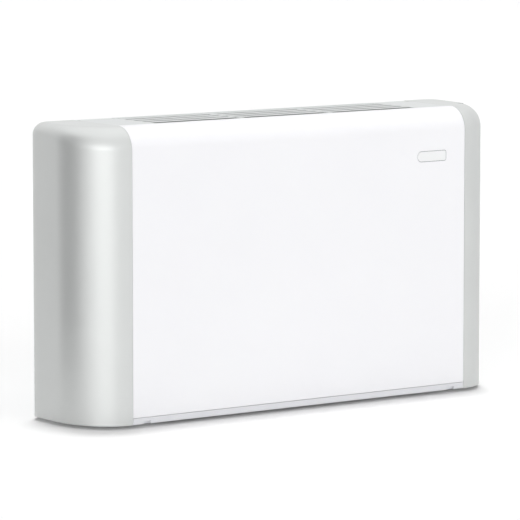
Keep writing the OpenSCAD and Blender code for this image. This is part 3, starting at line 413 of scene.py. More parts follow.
def plain_copy(made):
    """Applies an object's modifiers, so that it keeps their mesh and loses them."""
    depsgraph = bpy.context.evaluated_depsgraph_get()
    mesh = bpy.data.meshes.new_from_object(made.evaluated_get(depsgraph))
    made.modifiers.clear()
    made.data = mesh
    return made


def cut(made, cutter):
    """Cuts one object out of another and removes the cutter."""
    hole = made.modifiers.new("hole", "BOOLEAN")
    hole.operation, hole.object, hole.solver = "DIFFERENCE", cutter, "EXACT"
    plain_copy(made)
    bpy.data.objects.remove(cutter)


def soften(made, width, segments=2):
    """Rounds an object's sharp edges with a small bevel."""
    edge = made.modifiers.new("edge", "BEVEL")
    edge.width, edge.segments = width, segments
    edge.limit_method, edge.angle_limit = "ANGLE", SOFT_ANGLE
    return plain_copy(made)


def finish_piece(made, slot, body, replaced, bevel=0.0):
    """Softens, paints and smooths a piece, ties it to its body, and hides the nodes it stands for.
    """
    if bevel:
        soften(made, bevel)
    made.data.materials.clear()
    made.data.materials.append(FINISH[slot])
    made.data.shade_smooth()
    made.data.set_sharp_from_angle(angle=SMOOTH_ANGLE)
    flat = made.modifiers.new("flat", "WEIGHTED_NORMAL")
    flat.keep_sharp = True
    plain_copy(made)
    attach(made, body)
    if replaced:
        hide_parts(*replaced)
    print(made.name, len(made.data.polygons), "faces")


# %% [markdown]
# ## The front panel
# One sheet, bent back over the top in a wide radius and folded in at its edges. Drawing it as a
# closed outline of two offset lines gives the sheet its true thickness at every edge. The badge
# place is a window in the sheet, cut with a Boolean, because the plate sits flush in it.

# %% Badge outline
BADGE_X, BADGE_Z, BADGE_LEN = 314 * MM, HEIGHT - 93 * MM, 72 * MM
BADGE_HALF, BADGE_END = 10.5 * MM, 4 * MM
HALF_STEPS, QUARTER_STEPS = 24, 8


def badge_outline(grow):
    """The badge outline on the front plane: a half round left and small corners right."""
    left, right = -BADGE_LEN / 2 + BADGE_HALF, BADGE_LEN / 2 - BADGE_END
    rise = BADGE_HALF - BADGE_END
    points = arc(BADGE_X + left, BADGE_Z, BADGE_HALF + grow, 90, 270, HALF_STEPS)
    points += arc(BADGE_X + right, BADGE_Z - rise, BADGE_END + grow, 270, 360, QUARTER_STEPS)
    points += arc(BADGE_X + right, BADGE_Z + rise, BADGE_END + grow, 0, 90, QUARTER_STEPS)
    return points


def badge_prism(name, grow, y0, y1):
    """The badge outline, grown or shrunk, run along Y."""
    shape = bmesh.new()
    bridge(shape, [[(x, y, z) for x, z in badge_outline(grow)] for y in (y0, y1)])
    return to_object(name, shape)


print("badge outline of", len(badge_outline(0)), "points")

# %% Front panel
PANEL_END, PANEL_TAIL, PANEL_FOOT, PANEL_SOFT = SEAM - GAP, 12 * MM, 18 * MM, 0.5 * MM
BEND_CENTRE, BEND_STEPS = (FRONT + BEND_R, HEIGHT - BEND_R), 40
TAIL_Y = FRONT + BEND_R + SHEET
WINDOW_CUT = 5 * MM
# A pair of points just below the bend keeps the smooth shading of the bend off the flat
SUPPORT = 3 * MM

sheet_outline = [(FRONT, STRIP_H), (FRONT, HEIGHT - BEND_R - SUPPORT)]
sheet_outline += arc(*BEND_CENTRE, BEND_R, 180, 90, BEND_STEPS)
sheet_outline += [(TAIL_Y, HEIGHT), (TAIL_Y, HEIGHT - PANEL_TAIL)]
sheet_outline += [(TAIL_Y - SHEET, HEIGHT - PANEL_TAIL)]
sheet_outline += arc(*BEND_CENTRE, BEND_R - SHEET, 90, 180, BEND_STEPS)
sheet_outline += [(FRONT + SHEET, STRIP_H + SHEET), (FRONT + PANEL_FOOT, STRIP_H + SHEET)]
sheet_outline += [(FRONT + PANEL_FOOT, STRIP_H)]
shape = bmesh.new()
sweep(shape, sheet_outline, -PANEL_END, PANEL_END)
front = to_object("front_sheet", shape)
cut(front, badge_prism("badge_window", CLEAR, FRONT - WINDOW_CUT, FRONT + WINDOW_CUT))
finish_piece(front, "white_painted_steel", "cabinet", ["front_panel"], bevel=PANEL_SOFT)

# %% Folds at the ends of the panel
PANEL_FOLD, FOLD_IN, FOLD_STEPS = 12 * MM, 0.3 * MM, 24

fold_outline = [(FRONT + SHEET / 2, STRIP_H)]
fold_outline += arc(*BEND_CENTRE, BEND_R - SHEET / 2, 180, 90, FOLD_STEPS)
fold_outline += arc(*BEND_CENTRE, BEND_R - PANEL_FOLD, 90, 180, FOLD_STEPS)
fold_outline += [(FRONT + PANEL_FOLD, STRIP_H)]
shape = bmesh.new()
for end in (-PANEL_END + FOLD_IN, PANEL_END - SHEET):
    sweep(shape, fold_outline, end, end + SHEET - FOLD_IN)
folds = to_object("front_sheet_folds", shape)
finish_piece(folds, "white_painted_steel", "cabinet", ["front_panel"])

# %% Badge plate
# A plate a little smaller than its window leaves a groove round it. The lip behind the groove is
# mid grey, which is painted shade: it darkens the groove into the outline a shadow would draw
BADGE_GROOVE, BADGE_DEEP, BADGE_LIP = 0.7 * MM, 1.9 * SHEET, 3 * MM
BADGE_SOFT, BADGE_SEGMENTS = 0.9 * MM, 4

plate = badge_prism("badge_face", -BADGE_GROOVE, FRONT, FRONT + BADGE_DEEP)
soften(plate, BADGE_SOFT, BADGE_SEGMENTS)
finish_piece(plate, "white_trim_plastic", "cabinet", ["badge_plate"])
# The lip's mid grey is painted shade in the groove round the plate
lip = badge_prism("badge_lip", BADGE_LIP, FRONT + SHEET, FRONT + 2 * SHEET)
finish_piece(lip, "frame_grey_plastic", "cabinet", ["badge_plate"])

# %% [markdown]
# ## The end caps
# Each cap is one moulding: an ellipse in plan from the seam to the flat side, a smaller corner at
# the rear, and a top edge whose radius runs from that of the front bend down to the rear edge's.
# The rule for a point is simple, so the cap is laid out as a grid over it. Solidify gives the wall,
# and the way for the pipes is left open at the back by skipping cells of the grid.

# %% Plan and top edge of a cap
CORNER_STEPS, SIDE_STEPS, REAR_STEPS = 60, 12, 24
REAR_EASE = 6 * MM
# The flat back of a cap is drawn by these places along X
REAR_PLACES = [OUT - CAP_REAR_R - REAR_EASE, (SEAM + OUT) / 2, SEAM]


def top_edge(y):
    """Radius of the cap's top edge at a depth y, from the front bend's down to the rear edge's."""
    u = min(1, max(0, (y - FRONT) / (BACK - CAP_REAR_R - FRONT)))
    return BEND_R + (REAR_R - BEND_R) * u * u * (3 - 2 * u)


def cap_stations():
    """Points round the right cap's plan, each with its inward direction."""
    stations = []
    for i in range(CORNER_STEPS + 1):
        t = math.radians(90 * i / CORNER_STEPS)
        outward = Vector((math.sin(t) / CAP_W, -math.cos(t) / CAP_CORNER)).normalized()
        point = Vector((SEAM + CAP_W * math.sin(t), FRONT + CAP_CORNER * (1 - math.cos(t))))
        stations.append((point, -outward))
    run = DEPTH - CAP_CORNER - CAP_REAR_R
    for i in range(1, SIDE_STEPS):
        stations.append((Vector((OUT, FRONT + CAP_CORNER + run * i / SIDE_STEPS)), Vector((-1, 0))))
    for i in range(REAR_STEPS + 1):
        t = math.radians(90 * i / REAR_STEPS)
        point = Vector((OUT - CAP_REAR_R * (1 - math.cos(t)),
                        BACK - CAP_REAR_R * (1 - math.sin(t))))
        stations.append((point, Vector((-math.cos(t), -math.sin(t)))))
    stations += [(Vector((x, BACK)), Vector((0, -1))) for x in REAR_PLACES]
    return stations


print("cap plan of", len(cap_stations()), "points, top edge", BEND_R, "to", REAR_R, "m")

# %% Shell of a cap
WAY_LOW, WAY_HIGH = 30 * MM, HEIGHT - 64 * MM
WALL_ROWS = [0, WAY_LOW, 150 * MM, 270 * MM, 390 * MM, WAY_HIGH]
EDGE_STEPS = 20


def cap_column(point, inward):
    """One upright line of a cap: up the wall, then in over the round top edge."""
    radius = top_edge(point.y)
    column = [(point.x, point.y, z) for z in WALL_ROWS]
    for k in range(EDGE_STEPS + 1):
        t = math.radians(90 * k / EDGE_STEPS)
        at = point + inward * (radius * (1 - math.cos(t)))
        column.append((at.x, at.y, HEIGHT - radius + radius * math.sin(t)))
    return column


def cap_shell(name, side):
    """The wall and top of a cap, with the way for the pipes left open at the back."""
    shape = bmesh.new()
    grid = []
    for point, inward in cap_stations():
        grid.append([shape.verts.new((side * x, y, z)) for x, y, z in cap_column(point, inward)])
    rear_first = len(grid) - len(REAR_PLACES)
    way_rows = range(WALL_ROWS.index(WAY_LOW), WALL_ROWS.index(WAY_HIGH))
    for i in range(len(grid) - 1):
        for j in range(len(grid[0]) - 1):
            if i < rear_first or j not in way_rows:
                shape.faces.new((grid[i][j], grid[i + 1][j], grid[i + 1][j + 1], grid[i][j + 1]))
    top = shape.faces.new([column[-1] for column in grid])
    bmesh.ops.recalc_face_normals(shape, faces=shape.faces)
    if top.normal.z < 0:
        bmesh.ops.reverse_faces(shape, faces=shape.faces)
    made = link_mesh(name, shape)
    wall = made.modifiers.new("wall", "SOLIDIFY")
    wall.thickness, wall.offset = CAP_WALL, -1
    wall.use_even_offset, wall.use_quality_normals = True, True
    return plain_copy(made)


print("each upright line of a cap has", len(WALL_ROWS) + EDGE_STEPS + 1, "points")

# %% Port and lugs of a cap
PORT_X, PORT_Y, PORT_W, PORT_LEN, PORT_CUT = OUT - 40 * MM, FRONT + 87 * MM, 8 * MM, 14 * MM, 9 * MM
BASE_RAIL_Y, TOP_RAIL_H = FRONT + 14 * MM, 60 * MM
LUG_IN, LUG_OUT, LUG_ARM, LUG_T, LUG_H = 18 * MM, 22 * MM, 16 * MM, 3 * MM, 20 * MM
LUG_FRONT, LUG_RISE = FRONT + 4.5 * MM, 4 * MM
# The arm of a lug ends just inside the lug, so that no two faces lie on each other
LUG_INSET = 0.1 * MM
LUGS = [(BASE_RAIL_Y + CLEAR, STRIP_H + SHEET + GAP + LUG_RISE),
        (TOP_FRONT + SHEET + CLEAR, LEDGE - TOP_RAIL_H + LUG_RISE)]


def cut_port(cap, side):
    """Cuts the sensor port through the top of a cap."""
    slit = bmesh.new()
    block(slit, (side * (PORT_X - PORT_W / 2), PORT_Y - PORT_LEN / 2, HEIGHT - PORT_CUT),
          (side * (PORT_X + PORT_W / 2), PORT_Y + PORT_LEN / 2, HEIGHT + PORT_CUT))
    cut(cap, to_object("slit", slit))


def cap_lugs(side):
    """The two fixing lugs of a cap, each on an arm from the cap's wall."""
    lugs = bmesh.new()
    for y, z in LUGS:
        block(lugs, (side * (SEAM - LUG_IN), y, z), (side * (SEAM + LUG_OUT), y + LUG_T, z + LUG_H))
        block(lugs, (side * (SEAM + LUG_ARM), LUG_FRONT, z),
              (side * (SEAM + LUG_OUT - LUG_INSET), y + LUG_T - LUG_INSET, z + LUG_H - LUG_INSET))
    return to_object("lugs", lugs)


print("lugs behind the base rail and the top rail, at", LUGS)

# %% Both caps
CAP_SOFT = 0.5 * MM

for name, node, side in (("left_cap_moulding", "left_side_cap", -1),
                         ("right_cap_moulding", "right_side_cap", 1)):
    cap = cap_shell(name + "_shell", side)
    if node == "right_side_cap":
        cut_port(cap, side)
    soften(cap, CAP_SOFT)
    finish_piece(join(name, [cap, cap_lugs(side)]), "silver_moulded_plastic", "cabinet", [node])

# %% [markdown]
# ## Repeating with Geometry Nodes
# Louvres, fins and net threads are one shape set out in a row. One small tree does it for all of
# them: a line of points, an instance of the drawn shape on each point, and Realize Instances so
# that the export keeps them. Count and step are inputs of the tree, set by the socket's identifier.

# %% Helpers for trees that repeat a shape
def repeat_tree(name, step_kind):
    """A tree that takes a shape, a count, a step and a finish, and the node that gives them."""
    tree = bpy.data.node_groups.new(name, "GeometryNodeTree")
    for socket, kind in (("Shape", "NodeSocketGeometry"), ("Count", "NodeSocketInt"),
                         ("Step", step_kind), ("Finish", "NodeSocketMaterial")):
        tree.interface.new_socket(socket, in_out="INPUT", socket_type=kind)
    tree.interface.new_socket("Result", in_out="OUTPUT", socket_type="NodeSocketGeometry")
    return tree, add(tree, "NodeGroupInput")


def close_tree(tree, start, copies):
    """Ends a tree: the copies made real, painted and handed out."""
    real = add(tree, "GeometryNodeRealizeInstances", {"Geometry": copies.outputs["Instances"]})
    painted = add(tree, "GeometryNodeSetMaterial", {
        "Geometry": real.outputs["Geometry"], "Material": start.outputs["Finish"]})
    add(tree, "NodeGroupOutput", {"Result": painted.outputs["Geometry"]})
    return tree


def repeat(made, tree, count, step, slot):
    """Repeats an object's mesh by a tree and leaves the plain result."""
    values = {"Count": count, "Step": step, "Finish": FINISH[slot]}
    row = made.modifiers.new("row", "NODES")
    row.node_group = tree
    for socket in tree.interface.items_tree:
        if socket.name in values:
            row[socket.identifier] = values[socket.name]
    return plain_copy(made)


# %% A tree that sets a shape out in a row
def row_tree():
    """Sets a shape out along a straight line, a step apart."""
    tree, start = repeat_tree("set_out_in_a_row", "NodeSocketVector")
    line = add(tree, "GeometryNodeMeshLine", {
        "Count": start.outputs["Count"], "Offset": start.outputs["Step"]}, mode="OFFSET")
    copies = add(tree, "GeometryNodeInstanceOnPoints", {
        "Points": line.outputs["Mesh"], "Instance": start.outputs["Shape"]})
    return close_tree(tree, start, copies)


ROW = row_tree()
print("row tree of", len(ROW.nodes), "nodes")

# %% [markdown]
# ## The outlet grilles
# Three lift-out mouldings in a row. Each is a frame with a window, a row of louvres and cross ribs
# that keep fingers out. A louvre turns the rising air towards the room: its leg stands at the rear
# and bends forward into a thin lip. From low in front, the dark under the lips shows as lines
# between their flat tops.

# %% Shapes in a grille
LOUVRE_T, LOUVRE_LOW, LOUVRE_TOP = 2.2 * MM, 17 * MM, 0.3 * MM
LOUVRE_BEND, LOUVRE_LIP = 4 * MM, 1 * MM
VANE_STEPS, LIP_STEPS = 8, 4


def ring_block(shape, outer, inner, z0, z1):
    """A rectangular ring between two outlines and two heights."""
    loops = []
    for x0, y0, x1, y1 in (outer, inner):
        for z in (z0, z1):
            corners = ((x0, y0, z), (x1, y0, z), (x1, y1, z), (x0, y1, z))
            loops.append([shape.verts.new(corner) for corner in corners])
    low_out, high_out, low_in, high_in = loops
    for one, other in ((low_out, high_out), (low_in, high_in),
                       (high_out, high_in), (low_out, low_in)):
        for i in range(4):
            j = (i + 1) % 4
            shape.faces.new((one[i], one[j], other[j], other[i]))


def louvre_outline(y, width):
    """One louvre: a leg that rises at the rear and bends forward into a thin, round-edged lip."""
    low, high, rear = HEIGHT - LOUVRE_LOW, HEIGHT - LOUVRE_TOP, y + width
    bend = (rear - LOUVRE_BEND, high - LOUVRE_BEND)
    edge = arc(y + LOUVRE_LIP / 2, high - LOUVRE_LIP / 2, LOUVRE_LIP / 2, 270, 90, LIP_STEPS)
    outside = arc(*bend, LOUVRE_BEND, 90, 0, VANE_STEPS)
    inside = arc(*bend, LOUVRE_BEND - LOUVRE_T, 0, 90, VANE_STEPS)
    return edge + outside + [(rear, low), (rear - LOUVRE_T, low)] + inside


print("louvre outline of", len(louvre_outline(0, GRILLE_H)), "points")

# %% Rim, louvres and ribs of a grille
LOUVRES, RIBS = 4, 4
WINDOW_FRONT, WINDOW_REAR, GRILLE_SIDE, GRILLE_SOFT = 3.5 * MM, 6 * MM, 5 * MM, 0.6 * MM
LOUVRE_GAP, LOUVRE_LEAD, LOUVRE_REAR_GAP = 8 * MM, 14 * MM, 2 * MM
RIB_HALF, RIB_RISE, RIB_SINK = 1 * MM, 1 * MM, 5 * MM
WINDOW = (TOP_FRONT + WINDOW_FRONT, TOP_REAR - WINDOW_REAR)
LOUVRE_STEP = (WINDOW[1] - WINDOW[0] - LOUVRE_LEAD - LOUVRE_REAR_GAP) / LOUVRES


def grille_rim(name, x0, x1):
    """The frame of a grille: a flat top with a window, on a skirt."""
    shape = bmesh.new()
    outer = (x0, TOP_FRONT, x1, TOP_REAR)
    window = (x0 + GRILLE_SIDE, WINDOW[0], x1 - GRILLE_SIDE, WINDOW[1])
    ring_block(shape, outer, window, HEIGHT - TRIM, HEIGHT)
    inside = (x0 + TRIM, TOP_FRONT + TRIM, x1 - TRIM, TOP_REAR - TRIM)
    ring_block(shape, outer, inside, HEIGHT - GRILLE_H, HEIGHT - TRIM)
    return soften(to_object(name + "_rim", shape), GRILLE_SOFT)


def grille_louvres(name, x0, x1):
    """The louvres of a grille, one behind the other."""
    shape = bmesh.new()
    first = WINDOW[0] + LOUVRE_LEAD + LOUVRE_GAP
    sweep(shape, louvre_outline(first, LOUVRE_STEP - LOUVRE_GAP), x0 + TRIM / 2, x1 - TRIM / 2)
    vane = to_object(name + "_louvres", shape)
    return repeat(vane, ROW, LOUVRES, (0, LOUVRE_STEP, 0), "grille_grey_plastic")


def grille_ribs(name, x0, x1):
    """The cross ribs of a grille, side by side."""
    step = (x1 - x0) / (RIBS + 1)
    shape = bmesh.new()
    block(shape, (x0 + step - RIB_HALF, TOP_FRONT + TRIM / 2, HEIGHT - LOUVRE_LOW + RIB_RISE),
          (x0 + step + RIB_HALF, TOP_REAR - TRIM / 2, HEIGHT - RIB_SINK))
    return repeat(to_object(name + "_ribs", shape), ROW, RIBS, (step, 0, 0), "grille_grey_plastic")


print("louvres", round(LOUVRE_STEP / MM, 1), "mm apart")

# %% The three grilles
GRILLE_NODES = ("left_grille", "centre_grille", "right_grille")

pitch = 2 * BAY / len(GRILLE_NODES)
for index, node in enumerate(GRILLE_NODES):
    x0 = -BAY + pitch * index + GAP / 2
    x1 = x0 + pitch - GAP
    pieces = [make(node, x0, x1) for make in (grille_rim, grille_louvres, grille_ribs)]
    finish_piece(join(node + "_moulding", pieces), "grille_grey_plastic", "cabinet", [node])

# %% [markdown]
# ## Doors and rear rail
# The doors are flat lids that end in a hinge barrel, and the rear rail carries the rounded rear
# edge of the top. Both are simple outlines; what makes them look moulded is the soft edge.

# %% Access doors
DOOR_T, DOOR_NOTCH, DOOR_SOFT = 3 * MM, 10 * MM, 0.5 * MM
STIFFENER_IN, STIFFENER_T, STIFFENER_LOW, STIFFENER_LAP = 3 * MM, 1.6 * MM, 7 * MM, 0.3 * MM
# The barrel is a hair inside the lid's top, so that no two faces lie on each other
BARREL_IN, BARREL_STEPS = 0.02 * MM, 24


def door_lid(name, side, x0, x1, in0, in1):
    """The flat lid, notched at its rear corners to clear the hinge pins."""
    notch = HINGE_Y - DOOR_NOTCH
    plan = [(x0, TOP_FRONT), (x1, TOP_FRONT), (x1, notch), (in1, notch),
            (in1, HINGE_Y), (in0, HINGE_Y), (in0, notch), (x0, notch)]
    shape = bmesh.new()
    bridge(shape, [[(side * x, y, z) for x, y in plan] for z in (HEIGHT - DOOR_T, HEIGHT)])
    return soften(to_object(name + "_lid", shape), DOOR_SOFT)


def door_barrel(name, ends):
    """The hinge barrel at the rear, and the stiffener under the front edge."""
    shape = bmesh.new()
    radius, last_turn = HINGE_R - BARREL_IN, 360 - 360 / BARREL_STEPS
    sweep(shape, arc(HINGE_Y, HEIGHT - HINGE_R, radius, 0, last_turn, BARREL_STEPS - 1), *ends)
    y0, z0 = TOP_FRONT + STIFFENER_IN, HEIGHT - STIFFENER_LOW
    y1, z1 = y0 + STIFFENER_T, HEIGHT - DOOR_T + STIFFENER_LAP
    sweep(shape, [(y0, z0), (y1, z0), (y1, z1), (y0, z1)], *ends)
    return to_object(name + "_barrel", shape)


x0, x1 = BAY + GAP, SEAM - GAP
in0, in1 = x0 + TRIM + GAP, x1 - TRIM - GAP
for name, node, body, side in (("left_door_moulding", "left_door", "left_lid", -1),
                               ("right_door_moulding", "right_door", "right_lid", 1)):
    barrel = door_barrel(name, sorted((side * in0, side * in1)))
    lid = door_lid(name, side, x0, x1, in0, in1)
    finish_piece(join(name, [lid, barrel]), "door_grey_plastic", body, [node])

# %% Rear rail
RAIL_SKIRT, RAIL_DROP, RAIL_REACH, RAIL_SOFT = 16 * MM, 10 * MM, 12 * MM, 0.5 * MM
LAP_LOW, LAP_HIGH, LEDGE_ROOT = 12 * MM, 8 * MM, 1 * MM
REAR_CENTRE, ROUND_STEPS = (BACK - REAR_R, HEIGHT - REAR_R), 28
lap = BACK - SHEET - CLEAR
skirt = HEIGHT - REAR_R - RAIL_SKIRT + GAP

rail_outline = [(RAIL_Y, HEIGHT)] + arc(*REAR_CENTRE, REAR_R, 90, 0, ROUND_STEPS)
rail_outline += [(BACK, skirt), (BACK - TRIM, skirt)]
rail_outline += arc(*REAR_CENTRE, REAR_R - TRIM, 0, 90, ROUND_STEPS)
rail_outline += [(RAIL_Y + TRIM, HEIGHT - TRIM), (RAIL_Y + TRIM, LEDGE - RAIL_DROP)]
rail_outline += [(RAIL_Y, LEDGE - RAIL_DROP)]
lap_outline = [(lap - TRIM, skirt - LAP_LOW), (lap, skirt - LAP_LOW), (lap, skirt + LAP_HIGH),
               (lap - TRIM, skirt + LAP_HIGH)]
ledge_outline = [(RAIL_Y - RAIL_REACH, LEDGE - TRIM), (RAIL_Y + LEDGE_ROOT, LEDGE - TRIM),
                 (RAIL_Y + LEDGE_ROOT, LEDGE), (RAIL_Y - RAIL_REACH, LEDGE)]
shape = bmesh.new()
for outline in (rail_outline, lap_outline, ledge_outline):
    sweep(shape, outline, -PANEL_END, PANEL_END)
rail = to_object("rear_rail_moulding", shape)
finish_piece(rail, "white_trim_plastic", "cabinet", ["rear_top_rail"], bevel=RAIL_SOFT)

# %% [markdown]
# ## The bay seals
# A foam strip stands on each end plate and reaches up under the grille, so that the blown air can't
# leak into the side bays, and nobody looks through them from above. It is one outline, stepped to
# pass under the front rail and the rear rail, and run for its thickness along X.

# %% Foam strips on the end plates
SEAL_T, SEAL_LAP, SEAL_CLEAR, SEAL_SOFT = 3.5 * MM, 15 * MM, 0.3 * MM, 0.8 * MM
RAIL_FLANGE = 14 * MM
plate_low, plate_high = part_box("right_end_plate")
seal_x = plate_low.x + SHEET
seal_low, seal_top = plate_high.z - SEAL_LAP, LEDGE - SEAL_CLEAR
seal_front, seal_step = TOP_FRONT + SHEET + GAP, TOP_FRONT + RAIL_FLANGE + GAP
seal_rear, seal_back = RAIL_Y - RAIL_REACH - GAP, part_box("back_panel")[0].y - GAP
under_front, under_rear = LEDGE - SHEET - GAP, LEDGE - RAIL_DROP - GAP

seal_outline = [(seal_front, seal_low), (seal_back, seal_low), (seal_back, under_rear),
                (seal_rear, under_rear), (seal_rear, seal_top), (seal_step, seal_top),
                (seal_step, under_front), (seal_front, under_front)]
shape = bmesh.new()
for side in (-1, 1):
    sweep(shape, seal_outline, side * seal_x, side * (seal_x + SEAL_T))
finish_piece(to_object("bay_seals", shape), "grey_foam", "cabinet", [], bevel=SEAL_SOFT)

# %% [markdown]
# ## Marks on the controls
# The dials under the right door carry printed marks: strokes round the thermostat and a dot for
# each fan speed. A second small tree sets a mark out round an arc, by turning each point's index
# into an angle. A dark inlay fills the pointer groove of each knob and turns with it.

# %% A tree that sets a mark out round an arc
def arc_tree():
    """Sets a mark out round the Z axis, a step in radians apart, with the row's middle at +Y."""
    tree, start = repeat_tree("set_out_round_an_arc", "NodeSocketFloat")
    points = add(tree, "GeometryNodePoints", {"Count": start.outputs["Count"]})
    index = add(tree, "GeometryNodeInputIndex")
    last = add(tree, "ShaderNodeMath", {0: start.outputs["Count"], 1: 1}, operation="SUBTRACT")
    middle = add(tree, "ShaderNodeMath", {0: last.outputs[0], 1: 2}, operation="DIVIDE")
    place = add(tree, "ShaderNodeMath", {
        0: index.outputs[0], 1: middle.outputs[0]}, operation="SUBTRACT")
    angle = add(tree, "ShaderNodeMath", {
        0: place.outputs[0], 1: start.outputs["Step"]}, operation="MULTIPLY")
    turn = add(tree, "ShaderNodeCombineXYZ", {"Z": angle.outputs[0]})
    copies = add(tree, "GeometryNodeInstanceOnPoints", {
        "Points": points.outputs[0], "Instance": start.outputs["Shape"],
        "Rotation": turn.outputs["Vector"]})
    return close_tree(tree, start, copies)


ROUND = arc_tree()
print("arc tree of", len(ROUND.nodes), "nodes")

# %% Places of the knobs
def knob_place(node):
    """Centre, top and radius of a knob, from its box."""
    low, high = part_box(node)
    return Vector(((low.x + high.x) / 2, (low.y + high.y) / 2, 0)), high.z, (high.x - low.x) / 2


for node in ("thermostat_knob", "speed_knob"):
    print(node, "centre, top and radius", knob_place(node))

# %% Dial marks
PRINT_T, MARK_GAP = 0.15 * MM, 2.2 * MM
STROKE_W, STROKE_LEN, STROKES, STROKE_STEP = 1.5 * MM, 4 * MM, 10, math.radians(30)
DOT_R, DOT_SIDES, DOTS, DOT_STEP = 1.5 * MM, 20, 3, math.radians(60)
print_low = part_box("control_panel")[1].z


def dial(node, mark, count, step):
    """Marks set out round the origin and moved to the centre of a knob."""
    marks = repeat(mark, ROUND, count, step, "white_knob_plastic")
    marks.data.transform(Matrix.Translation(knob_place(node)[0]))
    return marks


start = knob_place("thermostat_knob")[2] + MARK_GAP
shape = bmesh.new()
block(shape, (-STROKE_W / 2, start, print_low),
      (STROKE_W / 2, start + STROKE_LEN, print_low + PRINT_T))
strokes = dial("thermostat_knob", to_object("strokes", shape), STROKES, STROKE_STEP)
start = knob_place("speed_knob")[2] + MARK_GAP
shape = bmesh.new()
dot_centre = Matrix.Translation((0, start + DOT_R, print_low + PRINT_T / 2))
bmesh.ops.create_cone(shape, cap_ends=True, segments=DOT_SIDES, radius1=DOT_R, radius2=DOT_R,
                      depth=PRINT_T, matrix=dot_centre)
dots = dial("speed_knob", to_object("dots", shape), DOTS, DOT_STEP)
finish_piece(join("dial_marks", [strokes, dots]), "white_knob_plastic", "cabinet", [])

# %% Pointers of the knobs
POINTER_HALF, POINTER_IN, POINTER_OUT = 0.75 * MM, 3.1 * MM, 1.6 * MM
POINTER_DEEP, POINTER_SINK, POINTER_SOFT = 0.75 * MM, 0.2 * MM, 0.1 * MM

for name, node, body in (("thermostat_pointer", "thermostat_knob", "thermostat"),
                         ("speed_pointer", "speed_knob", "speed_selector")):
    centre, top, radius = knob_place(node)
    shape = bmesh.new()
    block(shape, (centre.x - POINTER_HALF, centre.y + POINTER_IN, top - POINTER_DEEP),
          (centre.x + POINTER_HALF, centre.y + radius - POINTER_OUT, top - POINTER_SINK))
    finish_piece(to_object(name, shape), "black_plastic", body, [], bevel=POINTER_SOFT)

# %% [markdown]
# ## Fins and filter net
# A real coil has a fin every couple of millimetres. The solid model carries fewer, thicker plates,
# so here the pack is set out again at a real pitch, leaning as the coil does. The filter is a net
# of crossing threads; its pitch is drawn wider than the real one so that it still reads as a net.

# %% Coil fins
COIL_Y, COIL_Z, COIL_LEAN = FRONT + 118 * MM, 388 * MM, math.radians(20)
FIN_HALF_Y, FIN_HALF_Z, FIN_PITCH, FIN_T = 33 * MM, 100 * MM, 3 * MM, 0.3 * MM
FIN_END = 300 * MM


def in_coil(y, z):
    """A point of the coil's own leaning frame, in the part's frame."""
    return (COIL_Y + y * math.cos(COIL_LEAN) + z * math.sin(COIL_LEAN),
            COIL_Z - y * math.sin(COIL_LEAN) + z * math.cos(COIL_LEAN))


shape = bmesh.new()
fin_corners = [in_coil(y, z) for y, z in ((-FIN_HALF_Y, -FIN_HALF_Z), (FIN_HALF_Y, -FIN_HALF_Z),
                                          (FIN_HALF_Y, FIN_HALF_Z), (-FIN_HALF_Y, FIN_HALF_Z))]
sweep(shape, fin_corners, -FIN_END, -FIN_END + FIN_T)
fins = to_object("coil_fin_pack", shape)
repeat(fins, ROW, int(2 * FIN_END / FIN_PITCH), (FIN_PITCH, 0, 0), "fin_aluminium")
finish_piece(fins, "fin_aluminium", "cabinet", ["coil_fins"])

# %% Filter net
NET_PITCH, THREAD = 4 * MM, 0.6 * MM
low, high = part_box("filter_net")
net_mid = (low.z + high.z) / 2

shape = bmesh.new()
block(shape, (low.x, low.y, net_mid - THREAD), (high.x, low.y + THREAD, net_mid))
weft = to_object("net_weft", shape)
repeat(weft, ROW, int((high.y - low.y) / NET_PITCH), (0, NET_PITCH, 0), "filter_net_fibre")
shape = bmesh.new()
block(shape, (low.x, low.y, net_mid - THREAD / 2), (low.x + THREAD, high.y, net_mid + THREAD / 2))
warp = to_object("net_warp", shape)
repeat(warp, ROW, int((high.x - low.x) / NET_PITCH), (NET_PITCH, 0, 0), "filter_net_fibre")
finish_piece(join("filter_net_weave", [weft, warp]), "filter_net_fibre", "filter", ["filter_net"])

# %% [markdown]
# ## Floor and world
# A pale floor and a white world make the plain white page of the photograph. The camera and
# mirror-like rays see the world at full white, while it lights the object more softly. The floor
# keeps the shadow of the cabinet, and bounces less light than it shows, which keeps the low edges
# from glowing.

# %% Floor
# The floor lies a little below the rims, so that a dark line of shadow shows under them
FLOOR_GAP, FLOOR_SIZE = 7 * MM, 14
FLOOR_BOUNCED, FLOOR_SEEN, FLOOR_LIFT = "#E6E6E6", "#FBFBFB", 0.065
WHITE = (1, 1, 1, 1)


def seen(tree):
    """A socket that is 1 for camera, glossy and transmission rays, and 0 for the diffuse ones."""
    rays = add(tree, "ShaderNodeLightPath").outputs
    first = add(tree, "ShaderNodeMath", {
        0: rays["Is Camera Ray"], 1: rays["Is Glossy Ray"]}, operation="MAXIMUM")
    return add(tree, "ShaderNodeMath", {
        0: first.outputs[0], 1: rays["Is Transmission Ray"]}, operation="MAXIMUM").outputs[0]


floor_material = bpy.data.materials.new("pale_studio_floor")
tree = empty_tree(floor_material)
shown = seen(tree)
lift = add(tree, "ShaderNodeMath", {0: shown, 1: FLOOR_LIFT}, operation="MULTIPLY")
paint = add(tree, "ShaderNodeMix", {
    "Factor": shown, "A": linear(FLOOR_BOUNCED), "B": linear(FLOOR_SEEN)}, data_type="RGBA")
matt = add(tree, "ShaderNodeBsdfDiffuse", {"Color": paint.outputs["Result"]})
glow = add(tree, "ShaderNodeEmission", {"Color": WHITE, "Strength": lift.outputs[0]})
both = add(tree, "ShaderNodeAddShader", {0: matt.outputs["BSDF"], 1: glow.outputs["Emission"]})
add(tree, "ShaderNodeOutputMaterial", {"Surface": both.outputs["Shader"]})

